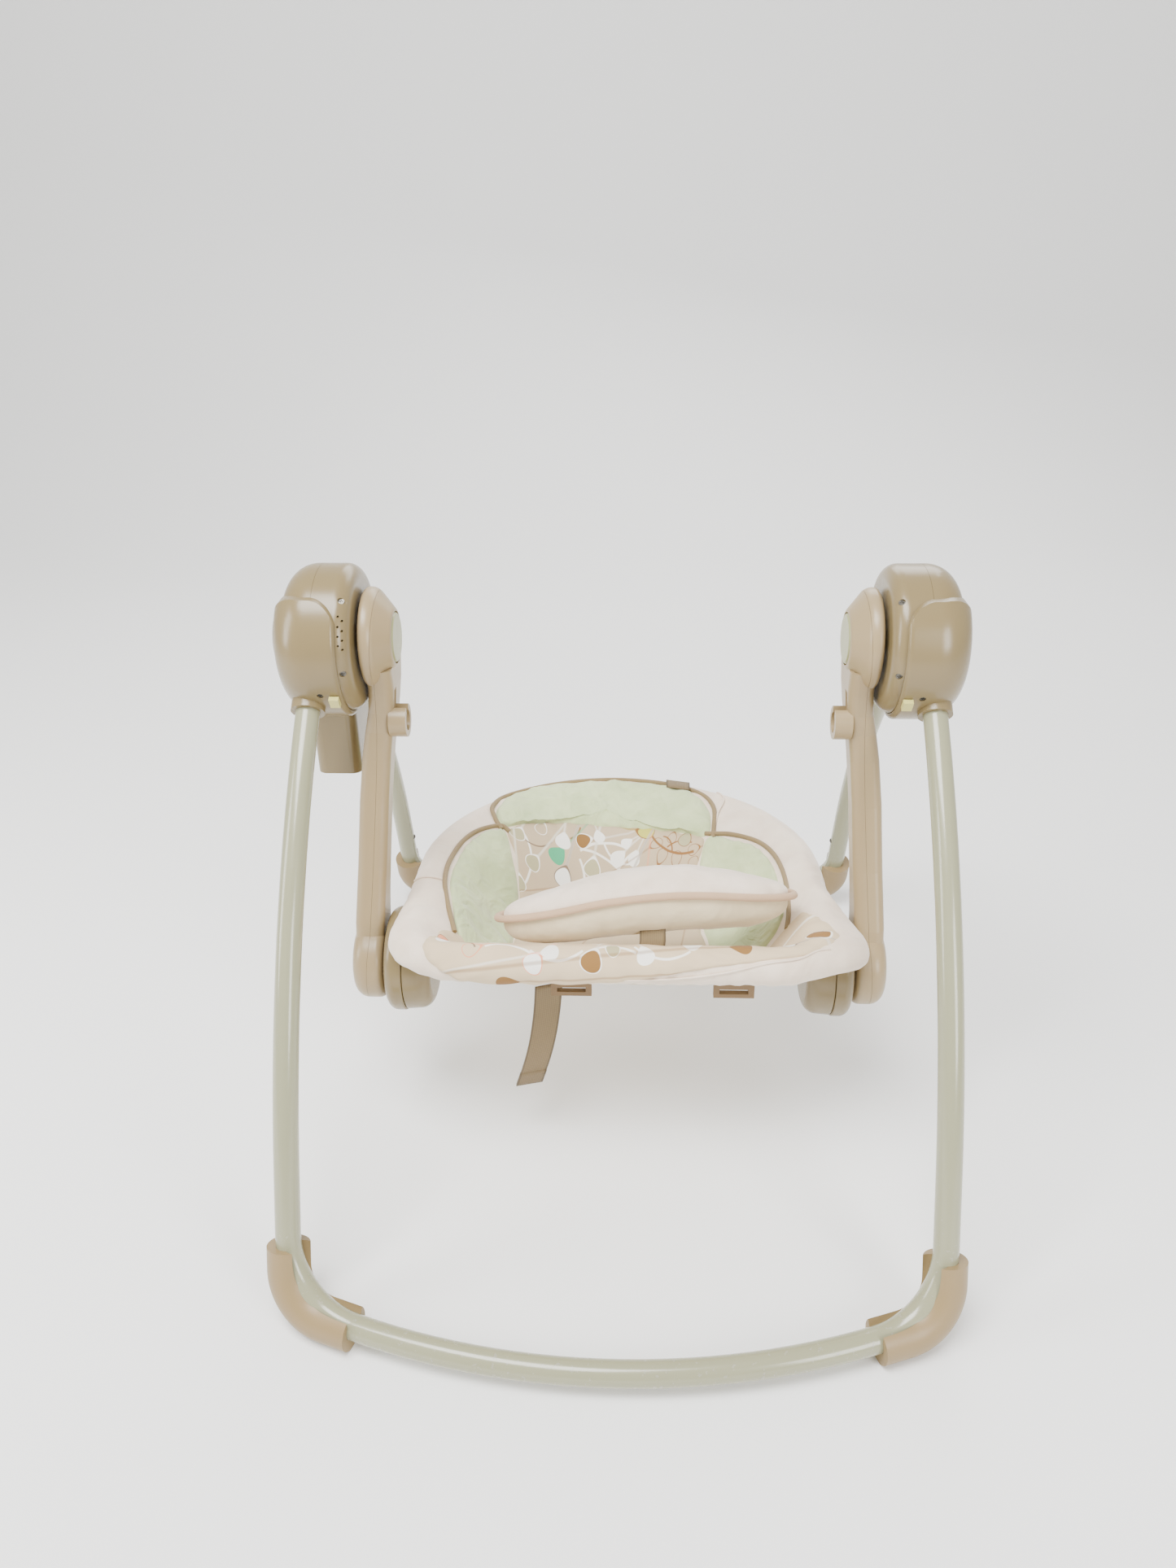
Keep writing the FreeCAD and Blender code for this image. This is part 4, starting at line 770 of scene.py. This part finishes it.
def make_cover():
    """The plush cover: bowl, rolled rim round the tube and its hem underneath."""
    ring = ring_outline(AROUND)
    bm = bmesh.new()
    bmesh.ops.create_grid(bm, x_segments=AROUND, y_segments=INWARD + OVER, size=0.5)
    plan_of = {}
    for vert in bm.verts:
        i = int(round((vert.co.x + 0.5) * AROUND)) % AROUND
        j = int(round((vert.co.y + 0.5) * (INWARD + OVER)))
        centre_line, out = ring[i]
        if j <= INWARD:
            flat = BOWL_MIDDLE + (centre_line - BOWL_MIDDLE) * (j / INWARD)
            inset = inset_of(flat.x, flat.y)
            near = math.exp(-inset / 0.03)
            rise = 0.0016 * wrinkle(flat.x, flat.y, 0.045, 1.0)
            rise += 0.0012 * near * math.sin(i * 0.55 + 4 * noise.noise(Vector((i * 0.07, 0, 0.5))))
            vert.co = Vector((flat.x, flat.y, bowl(flat.x, flat.y) + rise))
            plan_of[vert] = Vector((flat.x, flat.y, 0))
        else:
            turn = HEM_TURN * (j - INWARD) / OVER
            pucker = math.sin(i * 1.7 + 5 * noise.noise(Vector((i * 0.05, 0, 2.5)))) * smooth(turn / 3)
            creased = wrinkle(centre_line.x, centre_line.y + turn * 0.02, 0.03, 4.0)
            radius = ROLL + 0.0006 * creased + 0.0005 * pucker
            flat = centre_line + out * (radius * math.sin(turn))
            vert.co = Vector((flat.x, flat.y, radius * math.cos(turn)))
            along = centre_line + out * (radius * turn)
            plan_of[vert] = Vector((along.x, along.y, 0))
    bmesh.ops.remove_doubles(bm, verts=bm.verts, dist=WELD)
    plan = [plan_of.get(vert, vert.co).copy() for vert in bm.verts]
    cover = lay(bm, plan, "seat_cover_velour", "seat", VELOUR)
    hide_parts("seat_cover")
    return cover


def make_sling():
    """The plain cloth underneath, from the rim down to the bottom of the bowl."""
    around = AROUND // 2
    ring = ring_outline(around)
    bm = bmesh.new()
    bmesh.ops.create_grid(bm, x_segments=around, y_segments=SLING_RINGS, size=0.5)
    for vert in bm.verts:
        centre_line, out = ring[int(round((vert.co.x + 0.5) * around)) % around]
        share = vert.co.y + 0.5
        flat = BOWL_MIDDLE + (centre_line - out * SLING_IN - BOWL_MIDDLE) * share
        drop = SLING_GAP + SLING_SAG * smooth(1 - share * 1.05)
        height = min(bowl(flat.x, flat.y) - drop, SLING_TOP)
        height += 0.0012 * wrinkle(flat.x, flat.y, 0.05, 11.0)
        vert.co = Vector((flat.x, flat.y, height))
    bmesh.ops.remove_doubles(bm, verts=bm.verts, dist=WELD)
    return lay(bm, None, "seat_sling", "seat", SATIN)


# ------------------------------------------------------------------ restraint cushion

PAD_AT = Vector((0.025, -0.016, 0.036))
PAD_HALF_LONG, PAD_HALF_DEEP = 0.124, 0.037
PAD_TOP, PAD_BELOW = 0.019, 0.034
PAD_LEAN = math.radians(-22)
PAD_AROUND, PAD_RINGS = 96, 14
PAD_VOXEL, PAD_SWELL = 0.0045, 0.008
PAD_PRESSURE, PAD_FRAMES = 4, 20
PAD_CORD_STEPS, PAD_CORD_RADIUS, PAD_CORD_OUT = 160, 0.0033, (1.035, 1.06)


def pad_outline(turn):
    """The pad's flat cut: a long lens with blunt ends."""
    c, s = math.cos(turn), math.sin(turn)
    return math.copysign(abs(c) ** 0.8, c) * PAD_HALF_LONG, math.copysign(abs(s) ** 0.8, s) * PAD_HALF_DEEP


def make_cushion():
    """A stuffed pad's shape, swollen by pressure; finish_cushion gives it its plush top and satin underside,
    and make_cushion_cord the cord in its seam.
    """
    bm = bmesh.new()
    bmesh.ops.create_grid(bm, x_segments=PAD_AROUND, y_segments=2 * PAD_RINGS, size=0.5)
    for vert in bm.verts:
        turn = (vert.co.x + 0.5) * 2 * math.pi
        share = vert.co.y * 2
        x, y = pad_outline(turn)
        reach = math.cos(share * math.pi / 2)
        thick = (PAD_TOP if share > 0 else PAD_BELOW) * math.sin(abs(share) * math.pi / 2) ** 0.6
        vert.co = Vector((x * reach, y * reach, math.copysign(thick, share)))
    bmesh.ops.remove_doubles(bm, verts=bm.verts, dist=WELD)
    bmesh.ops.recalc_face_normals(bm, faces=bm.faces)
    mesh = bpy.data.meshes.new("restraint_pad")
    bm.to_mesh(mesh)
    bm.free()
    pad = bpy.data.objects.new("restraint_pad", mesh)
    scene.collection.objects.link(pad)
    inflate(pad)
    return pad


def inflate(pad):
    """Let pressure fill the pad, then keep the result."""
    bpy.context.view_layer.objects.active = pad
    for other in bpy.context.selected_objects:
        other.select_set(False)
    pad.select_set(True)
    remesh = pad.modifiers.new("even", "REMESH")
    remesh.mode = "VOXEL"
    remesh.voxel_size = PAD_VOXEL
    bpy.ops.object.modifier_apply(modifier="even")
    start = [v.co.copy() for v in pad.data.vertices]
    cloth = pad.modifiers.new("stuffing", "CLOTH")
    cloth.settings.use_pressure = True
    cloth.settings.uniform_pressure_force = PAD_PRESSURE
    cloth.settings.effector_weights.gravity = 0
    cloth.settings.quality = 6
    cloth.settings.tension_stiffness = 20
    cloth.settings.bending_stiffness = 0.4
    cloth.point_cache.frame_start, cloth.point_cache.frame_end = 1, PAD_FRAMES
    for moment in range(1, PAD_FRAMES + 1):
        scene.frame_set(moment)
    bpy.ops.object.modifier_apply(modifier="stuffing")
    for vert, before in zip(pad.data.vertices, start):
        moved = vert.co - before
        if moved.length > PAD_SWELL:
            vert.co = before + moved.normalized() * PAD_SWELL
    scene.frame_set(1)


def pad_place(co):
    """Where a point of the flat pad goes on the seat, in the seat's frame."""
    x, y, z = co
    along = x / PAD_HALF_LONG
    wave = 0.004 * math.sin(3.6 * along + 0.9) - 0.022 * max(-along - 0.3, 0) ** 1.3
    depth = y * math.cos(PAD_LEAN) - z * math.sin(PAD_LEAN) + 0.012 * along
    rise = y * math.sin(PAD_LEAN) + z * math.cos(PAD_LEAN) + wave
    return PAD_AT + Vector((x, depth, rise))


def finish_cushion(pad):
    """Pucker the pad along its seam, set it on the seat and give it its two cloths."""
    mesh = pad.data
    for vert in mesh.vertices:
        x, y, z = vert.co
        soft = noise.fractal(Vector((x / 0.035, y / 0.03, z / 0.03)), 1.0, 2.0, 3)
        near = math.exp(-abs(z) / 0.010)
        pucker = math.sin(x * 330 + 5 * noise.noise(Vector((x * 30, 0, 3)))) * near
        bulge = 0.0016 * soft + 0.0009 * pucker
        vert.co += Vector((0, math.copysign(bulge, y) * 0.6, math.copysign(bulge, z)))
    mesh.materials.append(VELOUR)
    mesh.materials.append(SATIN)
    for face in mesh.polygons:
        face.material_index = 0 if face.center.z > 0 else 1
        face.use_smooth = True
    for vert in mesh.vertices:
        vert.co = pad_place(vert.co)
    mesh.transform(SEAT_FRAME)
    rounded = pad.modifiers.new("rounded", "SUBSURF")
    rounded.levels = rounded.render_levels = 1
    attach(pad, "seat")
    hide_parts("restraint_cushion")


def make_cushion_cord():
    """The piped cord round the cushion's seam."""
    points = []
    for i in range(PAD_CORD_STEPS):
        x, y = pad_outline(2 * math.pi * i / PAD_CORD_STEPS)
        points.append(SEAT_FRAME @ pad_place(Vector((x * PAD_CORD_OUT[0], y * PAD_CORD_OUT[1], 0))))
    mesh = round_cord("cushion_cord", points, PAD_CORD_RADIUS, 4, closed=True)
    return piece_of(mesh, "cushion_cord", "seat", PALE_PIPING)


# ------------------------------------------------------------------ straps

TAPE_WIDE, TAPE_THICK = 0.025, 0.0016
HEM_WIDE, HEM_THICK = 0.0252, 0.0034
TAIL_STEPS, HEM_STEPS = 30, 4
TAIL_ACROSS = Vector((0.97, 0.0, 0.24))
TAB_WIDE, TAB_THICK, TAB_AT = 0.026, 0.0012, 0.062
TAB_ACROSS = Vector((1, -0.25, 0)).normalized()
# points of the tab in the seat's plan: y and height over the cover; of the stub: x, y, z in the seat's frame
TAB_ROUTE = [(248, 6), (256, 5), (266, 4), (274, 4.4), (280, 5.4), (284, 6.6)]
STUB_WIDE = 0.022
STUB_ROUTE = [(30, -48, 22), (30, -54, 14), (29, -58, 6), (28, -60, -4), (28, -58, -16)]


def strap(name, route, across, wide=TAPE_WIDE, thick=TAPE_THICK):
    """A flat strap along a route of points; across is the way its width runs."""
    bm = bmesh.new()
    along = len(route) - 1
    bmesh.ops.create_grid(bm, x_segments=6, y_segments=along, size=0.5)
    uv_of = {}
    for vert in bm.verts:
        side, j = vert.co.x, int(round((vert.co.y + 0.5) * along))
        uv_of[vert] = (side + 0.5, j / along)
        vert.co = route[j] + across * (side * wide)
    layer = bm.loops.layers.uv.new("UVMap")
    for face in bm.faces:
        for loop in face.loops:
            loop[layer].uv = uv_of[loop.vert]
    mesh = bpy.data.meshes.new(name)
    bm.to_mesh(mesh)
    bm.free()
    made = piece_of(mesh, name, "seat", TAPE)
    wall = made.modifiers.new("thickness", "SOLIDIFY")
    wall.thickness = thick
    wall.offset = 0
    return (made, route_length(route))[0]


def route_length(route):
    return sum((b - a).length for a, b in zip(route, route[1:]))


def make_tail():
    """The loose end of the crotch strap, hanging under the front of the seat."""
    low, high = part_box("strap_tail")
    top = Vector((high.x - 0.018, (low.y + high.y) / 2, high.z - 0.002))
    foot = Vector((low.x + 0.014, (low.y + high.y) / 2, low.z + 0.004))
    route = []
    for i in range(TAIL_STEPS + 1):
        t = i / TAIL_STEPS
        point = top.lerp(foot, t)
        point.x += 0.004 * math.sin(t * math.pi)
        point.y += 0.0015 * math.sin(t * 7.0)
        route.append(point)
    tail = strap("strap_tail_webbing", route, TAIL_ACROSS)
    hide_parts("strap_tail")
    hem = route[-HEM_STEPS - 1 :]
    strap("strap_tail_hem", hem, TAIL_ACROSS, HEM_WIDE, HEM_THICK)


def make_tab():
    """The folded loop of tape sewn to the back of the rim."""
    route = [SEAT_FRAME @ skin(TAB_AT, y * MM, lift * MM) for y, lift in TAB_ROUTE]
    strap("rim_tab", route, TAB_ACROSS, TAB_WIDE, TAB_THICK)


def make_strap_stub():
    """The short strap from the pad's underside down into the front of the cover."""
    route = [SEAT_FRAME @ (Vector(point) * MM) for point in STUB_ROUTE]
    strap("strap_stub", route, Vector((1, 0, 0)), STUB_WIDE)


# ------------------------------------------------------------------ assembly


FLOOR_FRONT, FLOOR_BACK, FLOOR_BEND, WALL_TOP, FLOOR_HALF = -3.0, 1.6, 1.2, 5.0, 5
BEND_STEPS = 12
FLOOR_BELOW = 0.0003  # keeps the paper just under the feet


def make_floor():
    """Pale paper that runs back over the floor and bends up into a wall."""
    bm = bmesh.new()
    path = [(FLOOR_FRONT, 0.0), (FLOOR_BACK, 0.0)]
    for step in range(1, BEND_STEPS + 1):
        angle = math.radians(90 * step / BEND_STEPS)
        path.append((FLOOR_BACK + FLOOR_BEND * math.sin(angle), FLOOR_BEND - FLOOR_BEND * math.cos(angle)))
    path.append((FLOOR_BACK + FLOOR_BEND, WALL_TOP))
    first = [bm.verts.new((-FLOOR_HALF, y, z)) for y, z in path]
    edges = [bm.edges.new(pair) for pair in zip(first, first[1:])]
    swept = bmesh.ops.extrude_edge_only(bm, edges=edges)
    moved = [item for item in swept["geom"] if isinstance(item, bmesh.types.BMVert)]
    bmesh.ops.translate(bm, verts=moved, vec=(2 * FLOOR_HALF, 0, 0))
    bmesh.ops.recalc_face_normals(bm, faces=bm.faces)
    bmesh.ops.translate(bm, verts=bm.verts, vec=(0, 0, -FLOOR_BELOW))
    mesh = bpy.data.meshes.new("floor")
    bm.to_mesh(mesh)
    bm.free()
    r = Recipe("floor_paper", Specular_IOR_Level=0.1)
    cloud = r.grain(r.place(), 3, 2)
    paper = r.done(r.mix(cloud, (0.88, 0.88, 0.87, 1), (0.9, 0.9, 0.89, 1)), 0.9)
    piece_of(mesh, "floor", None, paper)


make_camera()
make_light()
make_floor()
make_cover()
make_sling()
panel("head_panel", HEAD_PANEL, MINT, 0.007, 0.0012, head_folds)
panel("side_panel_left", LEFT_PANEL, MINT, 0.006, 0.0012, side_folds)
panel("side_panel_right", RIGHT_PANEL, MINT, 0.006, 0.0012, side_folds)
panel("centre_panel", CENTRE_PANEL, CENTRE_PRINT, 0.003, 0.0008, centre_folds, 30)
panel("front_band", BAND_PANEL, BAND_PRINT, 0.0012, 0.0016, band_folds, 44)
for name, points in PANEL_CORDS.items():
    cord_along(name, smooth_run(points), 0.0024, 0.0012, PIPING)
cushion = make_cushion()
finish_cushion(cushion)
make_cushion_cord()
make_tail()
make_tab()
make_strap_stub()
for name, points in COVER_SEAMS.items():
    cord_along(name, smooth_run(points), 0.0009, 0.0008, VELOUR)
